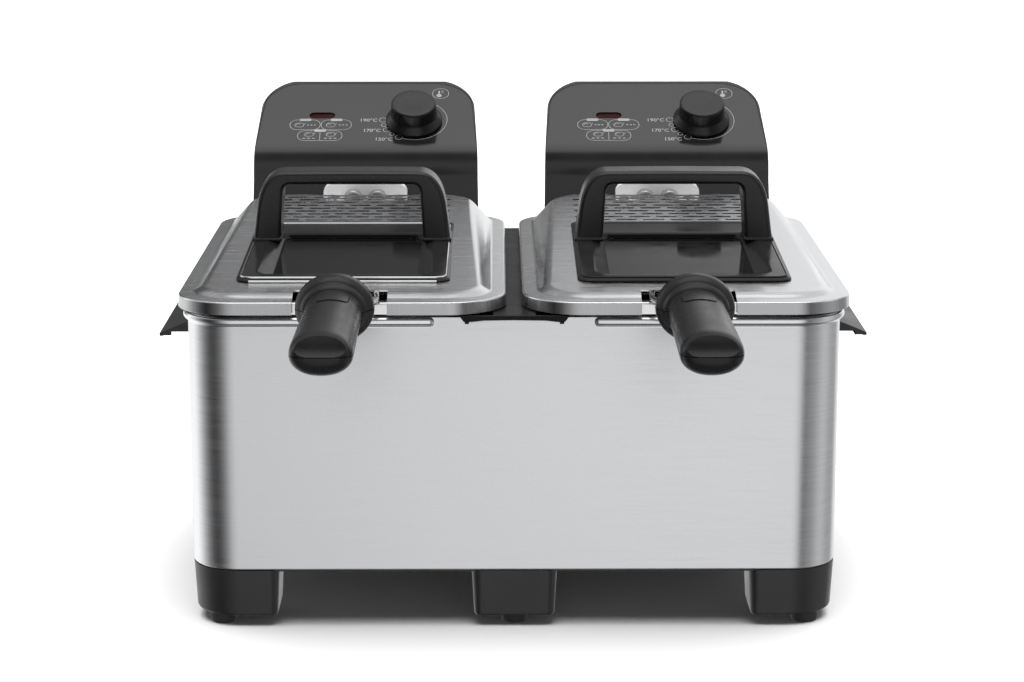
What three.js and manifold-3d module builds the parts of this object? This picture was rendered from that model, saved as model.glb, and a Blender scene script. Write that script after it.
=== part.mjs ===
// A twin deep fryer: one steel housing on a black base, holding two identical fryers side by side.
// Units are millimetres. X runs to the right, Y to the back and Z up. The floor is Z = 0.
// Inside the assembly, Y is measured from the housing's front face. The assembly is then moved
// forward by FRONT_FACE, so that the part's origin is the middle of its footprint.
import * as THREE from "three";
import { mergeVertices } from "three/addons/utils/BufferGeometryUtils.js";
import Module from "manifold-3d";

const wasm = await Module();
wasm.setup();

// Housing
const CASE_HALF = 215;
const CASE_DEPTH = 338;
const CASE_BOTTOM = 40;
const CASE_TOP = 212;
const CASE_RADIUS = 33;
const CASE_SHEET = 1.2;
const LIP_PROUD = 3;
const LIP_HEIGHT = 4;
const LIP_END = 54.5;
const FRONT_FACE = -135;
const GAP = 0.3;

// Base, legs and feet
const LEG_BOTTOM = 7.5;
const LEG_DEPTH = 50;
const LEG_WALL = 3;
const LEG_DRAFT = 1.5;
const LEG_RADIUS = 7;
const CORNER_LEG_WIDTH = 60;
const CENTRE_LEG_HALF = 28.6;
const BASE_PLATE_BOTTOM = 38.5;
const BASE_PLATE_TOP = 43.5;
const FOOT_RADIUS = 9;
const FOOT_X = 195.5;
const FOOT_INSET = 17;

// Carry handles on the sides
const CARRY_REACH = 31;
const CARRY_FRONT = 110;
const CARRY_REAR = 250;
const CARRY_TOP = 190;
const CARRY_TIP = 178;
const CARRY_BOTTOM = 176;
const CARRY_WALL = 4;

// One fryer
const FRYER_X = 114;
const SEAT_TOP = 213.3;
const BOWL_HALF = 96;
const BOWL_FRONT = 12;
const BOWL_REAR = 328;
const BOWL_FLOOR = 60;
const BOWL_RIM = 221.5;
const BOWL_RIM_HALF = 104;
const BOWL_RIM_REAR = 340;
const BOWL_SHEET = 1.5;
const BASKET_HALF = 88;
const BASKET_FRONT = 22;
const BASKET_REAR = 298;
const BASKET_FLOOR = 90;
const BASKET_RIM = 210;
const BASKET_SHEET = 1.5;

// Lid
const LID_HALF = 109;
const LID_FRONT = -5;
const LID_REAR = 346;
const LID_BOTTOM = 214;
const LID_FLANGE = 223.4;
const LID_SHEET = 1.2;
const LID_RADIUS = 40;
const WEDGE_HALF = 98.5;
const WEDGE_FRONT = 4;
const WEDGE_REAR = 336;
const PLATEAU_FRONT = 10;
const PLATEAU_REAR = 322;
const PLATEAU_FRONT_HALF = 91.7;
const PLATEAU_REAR_HALF = 83;
const PLATEAU_FRONT_Z = 226;
const PLATEAU_RISE = 16;
const FRONT_NOTCH_HALF = 31;
const FRONT_NOTCH_REAR = 18;
const REAR_NOTCH_HALF = 40;
const REAR_NOTCH_FRONT = 318;

// Window in the lid, with the arch handle that is moulded in one piece with its frame
const FRAME_HALF = 71.5;
const FRAME_FRONT = 38;
const FRAME_REAR = 220;
const FRAME_PROUD = 2.5;
const PANE_HALF = 57;
const PANE_FRONT = 53;
const PANE_REAR = 182;
const COLLAR_WALL = 3.5;
const COLLAR_DEPTH = 11;
const GLASS_DEPTH = 3;
const GLASS_THICK = 3;
const ARCH_FRONT = 155;
const ARCH_REAR = 184;
const ARCH_TOP = 284;
const ARCH_UNDER = 275;
const ARCH_FOOT_HALF = 70;
const ARCH_WAIST_HALF = 67.2;
const ARCH_WAIST_Z = 256;
const ARCH_SHOULDER_HALF = 48;
const FILTER_HALF = 72;
const FILTER_FRONT = 228;
const FILTER_REAR = 308;
const FILTER_THICK = 6;

// Control unit behind the bowl
const CONTROL_FRONT = 356;
const CONTROL_REAR = 448;
const CONTROL_FOOT_FRONT = 344;
const CONTROL_STEP = 205;
const CONTROL_BOTTOM = 110;
const CONTROL_HALF = 88.5;
const CONTROL_REAR_HALF = 85;
const CONTROL_WALL = 2.5;
const PANEL_APEX = 262;
const PANEL_ANGLE = THREE.MathUtils.degToRad(30);
const PANEL_REAR = 443;
const COVER_FRONT = 445.5;
const FASCIA_HALF = 85.5;
const FASCIA_FRONT = 4;
const FASCIA_REAR = 97;
const FASCIA_PROUD = 0.6;
const FASCIA_DEEP = 1.6;
const KNOB_X = 37;
const KNOB_S = 51.5;
const LAMP_X = -36.5;
const LAMP_S = 57.6;
const GLAND_X = 55;
const GLAND_Z = 140;
const GLAND_REAR = 465;
const CUTOUT_X = -30;
const CUTOUT_Z = 226;

// Heating element and its bracket
const TUBE_RADIUS = 4;
const TUBE_X = 9.5;
const TUBE_Z = 233.5;
const TUBE_DROP_Y = 318;
const LOOP_Z = 74;
const LOOP_HALF = 62;
const LOOP_FRONT = 45;
const BRACKET_HALF = 36;
const BRACKET_FRONT = 303.5;
const BRACKET_SHEET = 1.5;
const BULB_X = 24;
const BULB_Z = 231;
const BULB_RADIUS = 2.5;
const PLATE_HALF = 32.7;
const PLATE_TOP = 245;
const PLATE_THICK = 2.2;

// Basket handle
const GUARD_FRONT = -59;
const GUARD_REAR = -46;
const GUARD_HALF = 25.3;
const GUARD_HALF_HEIGHT = 22.5;
const GRIP_HALF = 18;
const GRIP_HALF_HEIGHT = 13.5;
const GRIP_END = -195;
const GRIP_Z = 228.2;
const ROD_RADIUS = 2.2;
const BUTTON_HALF = 10.5;
const BUTTON_FRONT = -92;
const BUTTON_REAR = -64;

const CORNER_STEPS = 4;

// --- Solids from three.js geometry -----------------------------------------------------------------

// A closed geometry as a solid that can be joined and cut.
function solid(geometry) {
  const bare = new THREE.BufferGeometry();
  bare.setAttribute("position", geometry.getAttribute("position"));
  bare.setIndex(geometry.index);
  const merged = mergeVertices(bare, 1e-4);
  return new wasm.Manifold(
    new wasm.Mesh({
      numProp: 3,
      vertProperties: new Float32Array(merged.attributes.position.array),
      triVerts: new Uint32Array(merged.index.array),
    }),
  );
}

// A joined or cut solid as a geometry again.
function geometryOf(body) {
  const mesh = body.getMesh();
  const geometry = new THREE.BufferGeometry();
  geometry.setAttribute("position", new THREE.BufferAttribute(mesh.vertProperties, 3));
  geometry.setIndex(new THREE.BufferAttribute(mesh.triVerts, 1));
  geometry.computeVertexNormals();
  return geometry;
}

function block(left, right, front, rear, bottom, top) {
  const geometry = new THREE.BoxGeometry(right - left, rear - front, top - bottom);
  geometry.translate((left + right) / 2, (front + rear) / 2, (bottom + top) / 2);
  return solid(geometry);
}

// A rounded rectangle seen from above, anticlockwise. Its height is a number or a function of y.
// radii are the front right, rear right, rear left and front left corners. rearInset narrows the rear.
function ring({ left, right, front, rear, radii, rearInset = 0, z }) {
  const [frontRight, rearRight, rearLeft, frontLeft] = radii;
  const corners = [
    [right - frontRight, front + frontRight, frontRight, -90],
    [right - rearInset - rearRight, rear - rearRight, rearRight, 0],
    [left + rearInset + rearLeft, rear - rearLeft, rearLeft, 90],
    [left + frontLeft, front + frontLeft, frontLeft, 180],
  ];
  const points = [];
  for (const [x, y, radius, start] of corners)
    for (let step = 0; step <= CORNER_STEPS; step++) {
      const angle = THREE.MathUtils.degToRad(start + (90 * step) / CORNER_STEPS);
      const pointY = y + radius * Math.sin(angle);
      const pointZ = typeof z === "function" ? z(pointY) : z;
      points.push(new THREE.Vector3(x + radius * Math.cos(angle), pointY, pointZ));
    }
  return points;
}

// A ring that is symmetric about X = 0.
function evenRing(half, front, rear, radius, z, rearInset = 0) {
  const radii = [radius, radius, radius, radius];
  return ring({ left: -half, right: half, front, rear, radii, rearInset, z });
}

// The solid skin through a stack of rings, closed by a flat cap at each end.
function loft(rings) {
  const count = rings[0].length;
  const last = (rings.length - 1) * count;
  const index = [];
  for (let level = 1; level < rings.length; level++)
    for (let point = 0; point < count; point++) {
      const here = (level - 1) * count + point;
      const next = (level - 1) * count + ((point + 1) % count);
      index.push(here, next, next + count, here, next + count, here + count);
    }
  for (let point = 1; point < count - 1; point++) {
    index.push(0, point + 1, point);
    index.push(last, last + point, last + point + 1);
  }
  const geometry = new THREE.BufferGeometry().setFromPoints(rings.flat());
  geometry.setIndex(index);
  geometry.computeVertexNormals();
  return geometry;
}

function extrude(shape, depth, curveSegments = 3) {
  return new THREE.ExtrudeGeometry(shape, { depth, bevelEnabled: false, curveSegments });
}

const AXIS_X = new THREE.Vector3(1, 0, 0);
const AXIS_Y = new THREE.Vector3(0, 1, 0);
const AXIS_Z = new THREE.Vector3(0, 0, 1);

// A side view, drawn in Y and Z, drawn out along X.
function extrudeAlongX(shape, left, right) {
  const turn = new THREE.Matrix4().makeBasis(AXIS_Y, AXIS_Z, AXIS_X);
  return solid(extrude(shape, right - left).applyMatrix4(turn).translate(left, 0, 0));
}

// A front view, drawn in X and Z, drawn out along Y.
function extrudeAlongY(shape, front, rear, curveSegments = 3) {
  const turn = new THREE.Matrix4().makeBasis(AXIS_X, AXIS_Z, AXIS_Y.clone().negate());
  return solid(extrude(shape, rear - front, curveSegments).applyMatrix4(turn).translate(0, rear, 0));
}

// A turned solid about Z, from pairs of radius and height that go up its outside.
function turned(profile, segments) {
  const points = profile.map(([radius, height]) => new THREE.Vector2(radius, height));
  return new THREE.LatheGeometry(points, segments).rotateX(Math.PI / 2);
}

// A cylinder along Y.
function rodAlongY(x, z, radius, front, rear, segments) {
  const geometry = new THREE.CylinderGeometry(radius, radius, rear - front, segments);
  return solid(geometry.translate(x, (front + rear) / 2, z));
}

function circle(radius, sides) {
  const points = [];
  for (let side = 0; side < sides; side++) {
    const angle = (2 * Math.PI * side) / sides;
    points.push(new THREE.Vector2(radius * Math.cos(angle), radius * Math.sin(angle)));
  }
  return new THREE.Shape(points);
}

// A line through the corners with each bend rounded.
function bentPath(corners, bend) {
  const path = new THREE.CurvePath();
  let from = corners[0];
  for (let i = 1; i < corners.length - 1; i++) {
    const corner = corners[i];
    const entry = corner.clone().add(corners[i - 1].clone().sub(corner).setLength(bend));
    const exit = corner.clone().add(corners[i + 1].clone().sub(corner).setLength(bend));
    path.add(new THREE.LineCurve3(from, entry));
    path.add(new THREE.QuadraticBezierCurve3(entry, corner, exit));
    from = exit;
  }
  path.add(new THREE.LineCurve3(from, corners.at(-1)));
  return path;
}

function bentRod(corners, bend, radius, sides, steps) {
  const extrudePath = bentPath(corners, bend);
  return new THREE.ExtrudeGeometry(circle(radius, sides), { steps, extrudePath, bevelEnabled: false });
}

function at(x, y, z) {
  return new THREE.Vector3(x, y, z);
}

// --- Frames of the two sloping faces ---------------------------------------------------------------

// The lid's plateau: y runs up its slope from its front edge, and z stands up from it.
const LID_SLOPE = Math.atan2(PLATEAU_RISE, PLATEAU_REAR - PLATEAU_FRONT);
const onPlateau = new THREE.Matrix4()
  .makeTranslation(0, PLATEAU_FRONT, PLATEAU_FRONT_Z)
  .multiply(new THREE.Matrix4().makeRotationX(LID_SLOPE))
  .multiply(new THREE.Matrix4().makeTranslation(0, -PLATEAU_FRONT, 0));

function plateauHeight(y) {
  return PLATEAU_FRONT_Z + Math.tan(LID_SLOPE) * (y - PLATEAU_FRONT);
}

// The control panel: y runs up its slope from its front edge, and z stands out from it.
const onPanel = new THREE.Matrix4()
  .makeTranslation(0, CONTROL_FRONT, PANEL_APEX)
  .multiply(new THREE.Matrix4().makeRotationX(PANEL_ANGLE));

// A straight-sided solid between two heights over one of those faces.
function slab(frame, half, front, rear, radius, low, high, rearInset = 0) {
  const bottom = evenRing(half, front, rear, radius, low, rearInset);
  const top = evenRing(half, front, rear, radius, high, rearInset);
  return solid(loft([bottom, top]).applyMatrix4(frame));
}

// --- Housing ---------------------------------------------------------------------------------------

// The outline of the casing, drawn in from its outer face by a distance.
function caseRing(inward, z) {
  return evenRing(CASE_HALF - inward, inward, CASE_DEPTH - inward, CASE_RADIUS - inward, z);
}

// A wrapped steel sheet. Its top edge flares out as a lip, except in the middle of the front.
function outerCasing() {
  const lipBottom = CASE_TOP - LIP_HEIGHT;
  const sheet = solid(loft([caseRing(0, CASE_BOTTOM), caseRing(0, CASE_TOP)]));
  const flare = solid(loft([caseRing(-LIP_PROUD, lipBottom), caseRing(-LIP_PROUD, CASE_TOP)]));
  const middle = block(-LIP_END, LIP_END, -20, CASE_SHEET, lipBottom - 5, CASE_TOP + 5);
  const inside = solid(loft([caseRing(CASE_SHEET, 0), caseRing(CASE_SHEET, CASE_TOP + 10)]));
  return geometryOf(sheet.add(flare.subtract(middle)).subtract(inside));
}

function legOutline(side) {
  const outer = side === 0 ? LEG_RADIUS : CASE_RADIUS;
  if (side === 0)
    return { left: -CENTRE_LEG_HALF, right: CENTRE_LEG_HALF, radii: [outer, outer, outer, outer] };
  const near = CASE_HALF - CORNER_LEG_WIDTH;
  if (side > 0)
    return { left: near, right: CASE_HALF, radii: [outer, LEG_RADIUS, LEG_RADIUS, LEG_RADIUS] };
  return { left: -CASE_HALF, right: -near, radii: [LEG_RADIUS, LEG_RADIUS, LEG_RADIUS, outer] };
}

function legRing(side, inward, z) {
  const { left, right, radii } = legOutline(side);
  return ring({
    left: left + inward,
    right: right - inward,
    front: inward,
    rear: LEG_DEPTH - inward,
    radii: radii.map((radius) => radius - inward),
    z,
  });
}

// A leg at the front, hollow and open at the top. A leg at the rear is the same, turned round.
function leg(side, rearRow) {
  const top = CASE_BOTTOM - GAP;
  const outside = loft([legRing(side, LEG_DRAFT, LEG_BOTTOM), legRing(side, 0, top)]);
  const inside = loft([
    legRing(side, LEG_WALL + LEG_DRAFT, LEG_BOTTOM + LEG_WALL),
    legRing(side, LEG_WALL, BASE_PLATE_TOP + 5),
  ]);
  for (const skin of [outside, inside])
    if (rearRow) skin.rotateZ(Math.PI).translate(0, CASE_DEPTH, 0);
  return { outside: solid(outside), inside: solid(inside) };
}

// The moulded base: a plate inside the casing and six hollow legs under it.
function baseTray() {
  const fit = CASE_SHEET + GAP;
  let tray = solid(loft([caseRing(fit, BASE_PLATE_BOTTOM), caseRing(fit, BASE_PLATE_TOP)]));
  const legs = [];
  for (const rearRow of [false, true])
    for (const side of [-1, 0, 1]) legs.push(leg(side, rearRow));
  for (const { outside } of legs) tray = tray.add(outside);
  for (const { inside } of legs) tray = tray.subtract(inside);
  return geometryOf(tray);
}

function rubberFoot() {
  const top = LEG_BOTTOM - GAP;
  const profile = [[0, 0], [FOOT_RADIUS - 1, 0], [FOOT_RADIUS, 1], [FOOT_RADIUS, top], [0, top]];
  return turned(profile, 12);
}

// A hood of plastic that the fingers reach under, on the right side. The left one is turned round.
function carryHandle() {
  const near = CASE_HALF + GAP;
  const tip = CASE_HALF + CARRY_REACH;
  const side = (wall) => {
    const shape = new THREE.Shape();
    shape.moveTo(near + wall, CARRY_BOTTOM - wall);
    shape.lineTo(tip - wall / 2, CARRY_BOTTOM - wall);
    shape.lineTo(tip - wall / 2, CARRY_TIP - wall);
    const bendX = near + 0.4 * CARRY_REACH;
    shape.quadraticCurveTo(bendX, CARRY_TOP - 3 - wall, near + wall, CARRY_TOP - wall);
    return shape;
  };
  const hood = extrudeAlongY(side(0), CARRY_FRONT, CARRY_REAR);
  const hollow = extrudeAlongY(side(CARRY_WALL), CARRY_FRONT + CARRY_WALL, CARRY_REAR - CARRY_WALL);
  return geometryOf(hood.subtract(hollow));
}

// The black strip between the two fryers, with a lip that hangs over the front and a rib below.
function centreBridge() {
  const half = 14;
  const ribHalf = 8;
  const lipHalf = 36;
  const lipNarrow = 3;
  const lipBottom = CASE_TOP - 3;
  const front = -LIP_PROUD - 0.5;
  const seat = CASE_TOP + GAP;
  const shape = new THREE.Shape();
  shape.moveTo(lipNarrow - lipHalf, lipBottom);
  shape.lineTo(lipHalf - lipNarrow, lipBottom);
  shape.lineTo(lipHalf, SEAT_TOP);
  shape.lineTo(-lipHalf, SEAT_TOP);
  const lip = extrudeAlongY(shape, front, -GAP);
  const strip = block(-half, half, -1, CASE_DEPTH - 4, seat, SEAT_TOP);
  const rib = block(-ribHalf, ribHalf, 8, CASE_DEPTH - 18, 190, seat + 0.5);
  return geometryOf(lip.add(strip).add(rib));
}

// The rail on the casing's back that the control unit hooks over.
function guideRail() {
  const front = CASE_DEPTH + GAP;
  const rear = CONTROL_FOOT_FRONT - GAP;
  const web = block(-30, 30, front, rear - 2, 125, 195);
  const head = block(-36, 36, rear - 2.5, rear, 125, 195);
  return geometryOf(web.add(head));
}

// --- Bowl, basket and lid --------------------------------------------------------------------------

function bowlRing(outward, z) {
  const front = BOWL_FRONT - outward;
  return evenRing(BOWL_HALF + outward, front, BOWL_REAR + outward, 32 + outward, z);
}

// The pressed steel bowl. Its rim turns out and down, and rests on the housing's top edge.
function bowl() {
  const sheet = BOWL_SHEET;
  const rimRadius = 38;
  const rim = (inward, z) =>
    evenRing(BOWL_RIM_HALF - inward, inward, BOWL_RIM_REAR - inward, rimRadius - inward, z);
  return loft([
    bowlRing(-6, BOWL_FLOOR - sheet),
    bowlRing(sheet - 0.5, BOWL_FLOOR + 6),
    bowlRing(sheet, BOWL_RIM - sheet),
    rim(sheet, BOWL_RIM - sheet),
    rim(sheet, SEAT_TOP + GAP),
    rim(0, SEAT_TOP + GAP),
    rim(0, BOWL_RIM - 1),
    rim(1, BOWL_RIM),
    bowlRing(1, BOWL_RIM),
    bowlRing(0, BOWL_RIM - 1),
    bowlRing(-0.5, BOWL_FLOOR + 7),
    bowlRing(-7, BOWL_FLOOR),
  ]);
}

// The basket as an open tub with a turned-out rim.
function basket() {
  const sheet = BASKET_SHEET;
  const around = (outward, z) =>
    evenRing(BASKET_HALF + outward, BASKET_FRONT - outward, BASKET_REAR + outward, 26 + outward, z);
  return loft([
    around(-8, BASKET_FLOOR),
    around(-3, BASKET_FLOOR + 5),
    around(0, BASKET_RIM - 3),
    around(2, BASKET_RIM - 3),
    around(2, BASKET_RIM),
    around(-sheet, BASKET_RIM),
    around(-3 - sheet, BASKET_FLOOR + 5 + sheet),
    around(-8 - sheet, BASKET_FLOOR + sheet),
  ]);
}

// The lid: a hanging skirt, a flat flange and a wedge that rises to the back. It has notches for the
// basket's handle and the heater's arm, and an opening for the window.
function lidShell() {
  const sheet = LID_SHEET;
  const radius = LID_RADIUS;
  const narrowing = PLATEAU_FRONT_HALF - PLATEAU_REAR_HALF;
  const skirt = (inward, z) =>
    evenRing(LID_HALF - inward, LID_FRONT + inward, LID_REAR - inward, radius - inward, z);
  const wedge = (inward, z) =>
    evenRing(WEDGE_HALF - inward, WEDGE_FRONT + inward, WEDGE_REAR - inward, 31, z);
  const plateau = (inward) => {
    const height = (y) => plateauHeight(y) - inward;
    const front = PLATEAU_FRONT + inward;
    return evenRing(PLATEAU_FRONT_HALF - inward, front, PLATEAU_REAR - inward, 24, height, narrowing);
  };
  const shell = loft([
    plateau(sheet),
    wedge(sheet, LID_FLANGE - sheet),
    skirt(2.5, LID_FLANGE - sheet),
    skirt(sheet, LID_FLANGE - 2.5),
    skirt(sheet, LID_BOTTOM),
    skirt(0, LID_BOTTOM),
    skirt(0, LID_FLANGE - 1.5),
    skirt(1.5, LID_FLANGE),
    wedge(0, LID_FLANGE),
    plateau(0),
  ]);
  const hole = COLLAR_WALL + 0.5;
  const window = slab(onPlateau, PANE_HALF + hole, PANE_FRONT - hole, PANE_REAR + hole, 9, -15, 15);
  const handleNotch = block(
    -FRONT_NOTCH_HALF, FRONT_NOTCH_HALF, LID_FRONT - 5, FRONT_NOTCH_REAR, LID_BOTTOM - 5, ARCH_TOP,
  );
  const heaterNotch = block(
    -REAR_NOTCH_HALF, REAR_NOTCH_HALF, REAR_NOTCH_FRONT, LID_REAR + 5, LID_BOTTOM - 5, ARCH_TOP,
  );
  return geometryOf(solid(shell).subtract(window).subtract(handleNotch).subtract(heaterNotch));
}

// The arch handle in front view: feet that lean in to a flat top, and a rounded opening below it.
function archShape() {
  const foot = ARCH_FOOT_HALF;
  const waist = ARCH_WAIST_HALF;
  const shoulder = ARCH_SHOULDER_HALF;
  const innerHalf = 50.5;
  const innerTop = 42;
  const base = plateauHeight(ARCH_FRONT) - 2;
  const shape = new THREE.Shape();
  shape.moveTo(innerHalf, base);
  shape.lineTo(foot, base);
  shape.lineTo(waist, ARCH_WAIST_Z);
  shape.quadraticCurveTo(waist - 2.7, ARCH_TOP - 1, shoulder, ARCH_TOP);
  shape.lineTo(-shoulder, ARCH_TOP);
  shape.quadraticCurveTo(2.7 - waist, ARCH_TOP - 1, -waist, ARCH_WAIST_Z);
  shape.lineTo(-foot, base);
  shape.lineTo(-innerHalf, base);
  shape.lineTo(2 - innerHalf, ARCH_UNDER - 7);
  shape.quadraticCurveTo(2 - innerHalf, ARCH_UNDER, -innerTop, ARCH_UNDER);
  shape.lineTo(innerTop, ARCH_UNDER);
  shape.quadraticCurveTo(innerHalf - 2, ARCH_UNDER, innerHalf - 2, ARCH_UNDER - 7);
  return shape;
}

// The window's black frame: a flat border on the lid, a collar through it, a ledge that the glass
// lies on, and the arch handle across it.
function windowFrame() {
  const wall = COLLAR_WALL;
  const ledge = 4;
  const over = 0.3;
  const border = slab(onPlateau, FRAME_HALF, FRAME_FRONT, FRAME_REAR, 10, over, FRAME_PROUD, 2);
  const collar = slab(
    onPlateau, PANE_HALF + wall, PANE_FRONT - wall, PANE_REAR + wall, 9, -COLLAR_DEPTH - 3, over + 1,
  );
  const lidTop = slab(onPlateau, FRAME_HALF, FRAME_FRONT, FRAME_REAR, 10, -40, over);
  const arch = extrudeAlongY(archShape(), ARCH_FRONT, ARCH_REAR, 4).subtract(lidTop);
  const glassSeat = -GLASS_DEPTH - GLASS_THICK - GAP;
  const opening = slab(onPlateau, PANE_HALF, PANE_FRONT, PANE_REAR, 7, glassSeat, 5);
  const through = slab(
    onPlateau, PANE_HALF - ledge, PANE_FRONT + ledge, PANE_REAR - ledge, 5, -COLLAR_DEPTH - 9, 5,
  );
  return geometryOf(border.add(collar).subtract(opening).subtract(through).add(arch));
}

function windowGlass() {
  const fit = 0.4;
  const top = -GLASS_DEPTH;
  const bottom = top - GLASS_THICK;
  return geometryOf(
    slab(onPlateau, PANE_HALF - fit, PANE_FRONT + fit, PANE_REAR - fit, 6.5, bottom, top),
  );
}

// The grease filter cassette that hangs under the lid's steam slots.
function lidFilter() {
  const top = -LID_SHEET - GAP;
  return geometryOf(
    slab(onPlateau, FILTER_HALF, FILTER_FRONT, FILTER_REAR, 6, top - FILTER_THICK, top),
  );
}

// --- Control unit ----------------------------------------------------------------------------------

// The whole outer form of the control unit: rounded in plan, with a sloping panel for its top.
function controlForm() {
  const plan = (z) =>
    ring({
      left: -CONTROL_HALF,
      right: CONTROL_HALF,
      front: CONTROL_FOOT_FRONT,
      rear: CONTROL_REAR,
      radii: [6, 25, 25, 6],
      rearInset: CONTROL_HALF - CONTROL_REAR_HALF,
      z,
    });
  const slope = Math.tan(PANEL_ANGLE);
  const panelTop = PANEL_APEX + slope * (PANEL_REAR - CONTROL_FRONT);
  const bend = 13;
  const side = new THREE.Shape();
  side.moveTo(CONTROL_FOOT_FRONT, CONTROL_BOTTOM);
  side.lineTo(CONTROL_REAR, CONTROL_BOTTOM);
  side.lineTo(CONTROL_REAR, panelTop - 5);
  side.quadraticCurveTo(CONTROL_REAR, panelTop + 1, PANEL_REAR, panelTop);
  side.lineTo(CONTROL_FRONT + bend, PANEL_APEX + slope * bend);
  side.quadraticCurveTo(CONTROL_FRONT, PANEL_APEX, CONTROL_FRONT, PANEL_APEX - bend);
  side.lineTo(CONTROL_FRONT, CONTROL_STEP + 3);
  side.lineTo(CONTROL_FOOT_FRONT, CONTROL_STEP);
  const wide = extrudeAlongX(side, -CONTROL_HALF - 10, CONTROL_HALF + 10);
  return solid(loft([plan(CONTROL_BOTTOM - 10), plan(panelTop + 20)])).intersect(wide);
}

// The hollow of the control unit, open to the back.
function controlHollow() {
  const wall = CONTROL_WALL;
  const panelWall = 4;
  const backTop = 300;
  const slope = Math.tan(PANEL_ANGLE);
  const under = (y) => PANEL_APEX + slope * (y - CONTROL_FRONT) - panelWall;
  const shelf = CONTROL_FRONT + (backTop + panelWall - PANEL_APEX) / slope;
  const side = new THREE.Shape();
  side.moveTo(CONTROL_FOOT_FRONT + wall, CONTROL_BOTTOM + wall);
  side.lineTo(CONTROL_REAR + 10, CONTROL_BOTTOM + wall);
  side.lineTo(CONTROL_REAR + 10, backTop);
  side.lineTo(shelf, backTop);
  side.lineTo(CONTROL_FRONT + wall, under(CONTROL_FRONT + wall));
  side.lineTo(CONTROL_FRONT + wall, CONTROL_STEP + 1);
  side.lineTo(CONTROL_FOOT_FRONT + wall, CONTROL_STEP - 2);
  const plan = (z) =>
    ring({
      left: wall - CONTROL_HALF,
      right: CONTROL_HALF - wall,
      front: CONTROL_FOOT_FRONT + wall,
      rear: COVER_FRONT + 0.1,
      radii: [4, 22, 22, 4],
      rearInset: CONTROL_HALF - CONTROL_REAR_HALF,
      z,
    });
  const wide = extrudeAlongX(side, -CONTROL_HALF, CONTROL_HALF);
  return solid(loft([plan(0), plan(400)])).intersect(wide);
}

// A hole straight through the panel.
function panelHole(shape, x, s) {
  return solid(extrude(shape, 40).translate(x, s, -20).applyMatrix4(onPanel));
}

function lampShape(grow) {
  const half = 6.5;
  const radius = 3.5 + grow;
  const shape = new THREE.Shape();
  shape.absarc(half, 0, radius, -Math.PI / 2, Math.PI / 2, false);
  shape.absarc(-half, 0, radius, Math.PI / 2, (3 * Math.PI) / 2, false);
  return shape;
}

function panelHoles() {
  return panelHole(circle(3.5, 10), KNOB_X, KNOB_S).add(panelHole(lampShape(GAP), LAMP_X, LAMP_S));
}

// The panel's outline, drawn in from the edge of the control unit.
function fasciaSlab(grow, low, high) {
  const plan = (z) =>
    ring({
      left: -FASCIA_HALF - grow,
      right: FASCIA_HALF + grow,
      front: FASCIA_FRONT - grow,
      rear: FASCIA_REAR + grow,
      radii: [4, 22, 22, 4],
      rearInset: CONTROL_HALF - CONTROL_REAR_HALF,
      z,
    });
  return solid(loft([plan(low), plan(high)]).applyMatrix4(onPanel));
}

// Two cylinders on the centre lines of the element's tubes.
function tubePair(radius, front, rear) {
  const left = rodAlongY(-TUBE_X, TUBE_Z, radius, front, rear, 10);
  return left.add(rodAlongY(TUBE_X, TUBE_Z, radius, front, rear, 10));
}

// Holes for the element's tubes and the thermostat's bulb, through the plate and the wall behind it.
function wallHoles(clearance) {
  const front = CONTROL_FOOT_FRONT - 4;
  const rear = CONTROL_FRONT + 14;
  const bulb = rodAlongY(BULB_X, BULB_Z, BULB_RADIUS + clearance, front, rear, 8);
  return tubePair(TUBE_RADIUS + clearance, front, rear).add(bulb);
}

// All the space behind a plane across Y.
function behind(y) {
  return block(-200, 200, y, y + 100, 0, 400);
}

function controlHousing() {
  const pocket = fasciaSlab(GAP, -FASCIA_DEEP - GAP, 20);
  const shell = controlForm().subtract(controlHollow()).subtract(behind(COVER_FRONT));
  return geometryOf(shell.subtract(pocket).subtract(panelHoles()).subtract(wallHoles(0.5)));
}

function controlRearCover() {
  return geometryOf(controlForm().intersect(behind(COVER_FRONT + GAP)));
}

function controlFascia() {
  return geometryOf(fasciaSlab(0, -FASCIA_DEEP, FASCIA_PROUD).subtract(panelHoles()));
}

// The knob and its stem, with a pointer groove that looks up the panel at rest.
function knob() {
  const under = 0.9;
  const stem = 3;
  const body = turned(
    [
      [0, -14], [stem, -14], [stem, under], [20.5, under], [22, 1.7], [18.2, 6.5],
      [17.3, 7.5], [16.9, 17], [15.6, 18.4], [0, 18.4],
    ],
    20,
  );
  const groove = block(-1.2, 1.2, 8, 20, 17.2, 22);
  const placed = geometryOf(solid(body).subtract(groove));
  return placed.applyMatrix4(new THREE.Matrix4().makeTranslation(KNOB_X, KNOB_S, 0)).applyMatrix4(onPanel);
}

function lampLens() {
  return extrude(lampShape(0), 4.4).translate(LAMP_X, LAMP_S, -3).applyMatrix4(onPanel);
}

// The thermostat under the panel, with a bore for the knob's stem.
function thermostatBody() {
  const outer = solid(turned([[0, -24], [15, -24], [15, -10], [12, -8], [12, -4.2], [0, -4.2]], 14));
  const bore = solid(turned([[0, -15], [3.4, -15], [3.4, 0], [0, 0]], 10));
  const placed = geometryOf(outer.subtract(bore));
  return placed.applyMatrix4(new THREE.Matrix4().makeTranslation(KNOB_X, KNOB_S, 0)).applyMatrix4(onPanel);
}

// The safety cut-out: a small sensor disc behind the control unit's front wall.
function safetyCutout() {
  const front = CONTROL_FRONT + CONTROL_WALL + GAP;
  const depth = 8;
  const can = rodAlongY(CUTOUT_X, CUTOUT_Z, 8, front, front + depth, 12);
  const stem = rodAlongY(CUTOUT_X, CUTOUT_Z, 4, front + depth - 1, front + depth + 6, 8);
  return geometryOf(can.add(stem));
}

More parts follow.
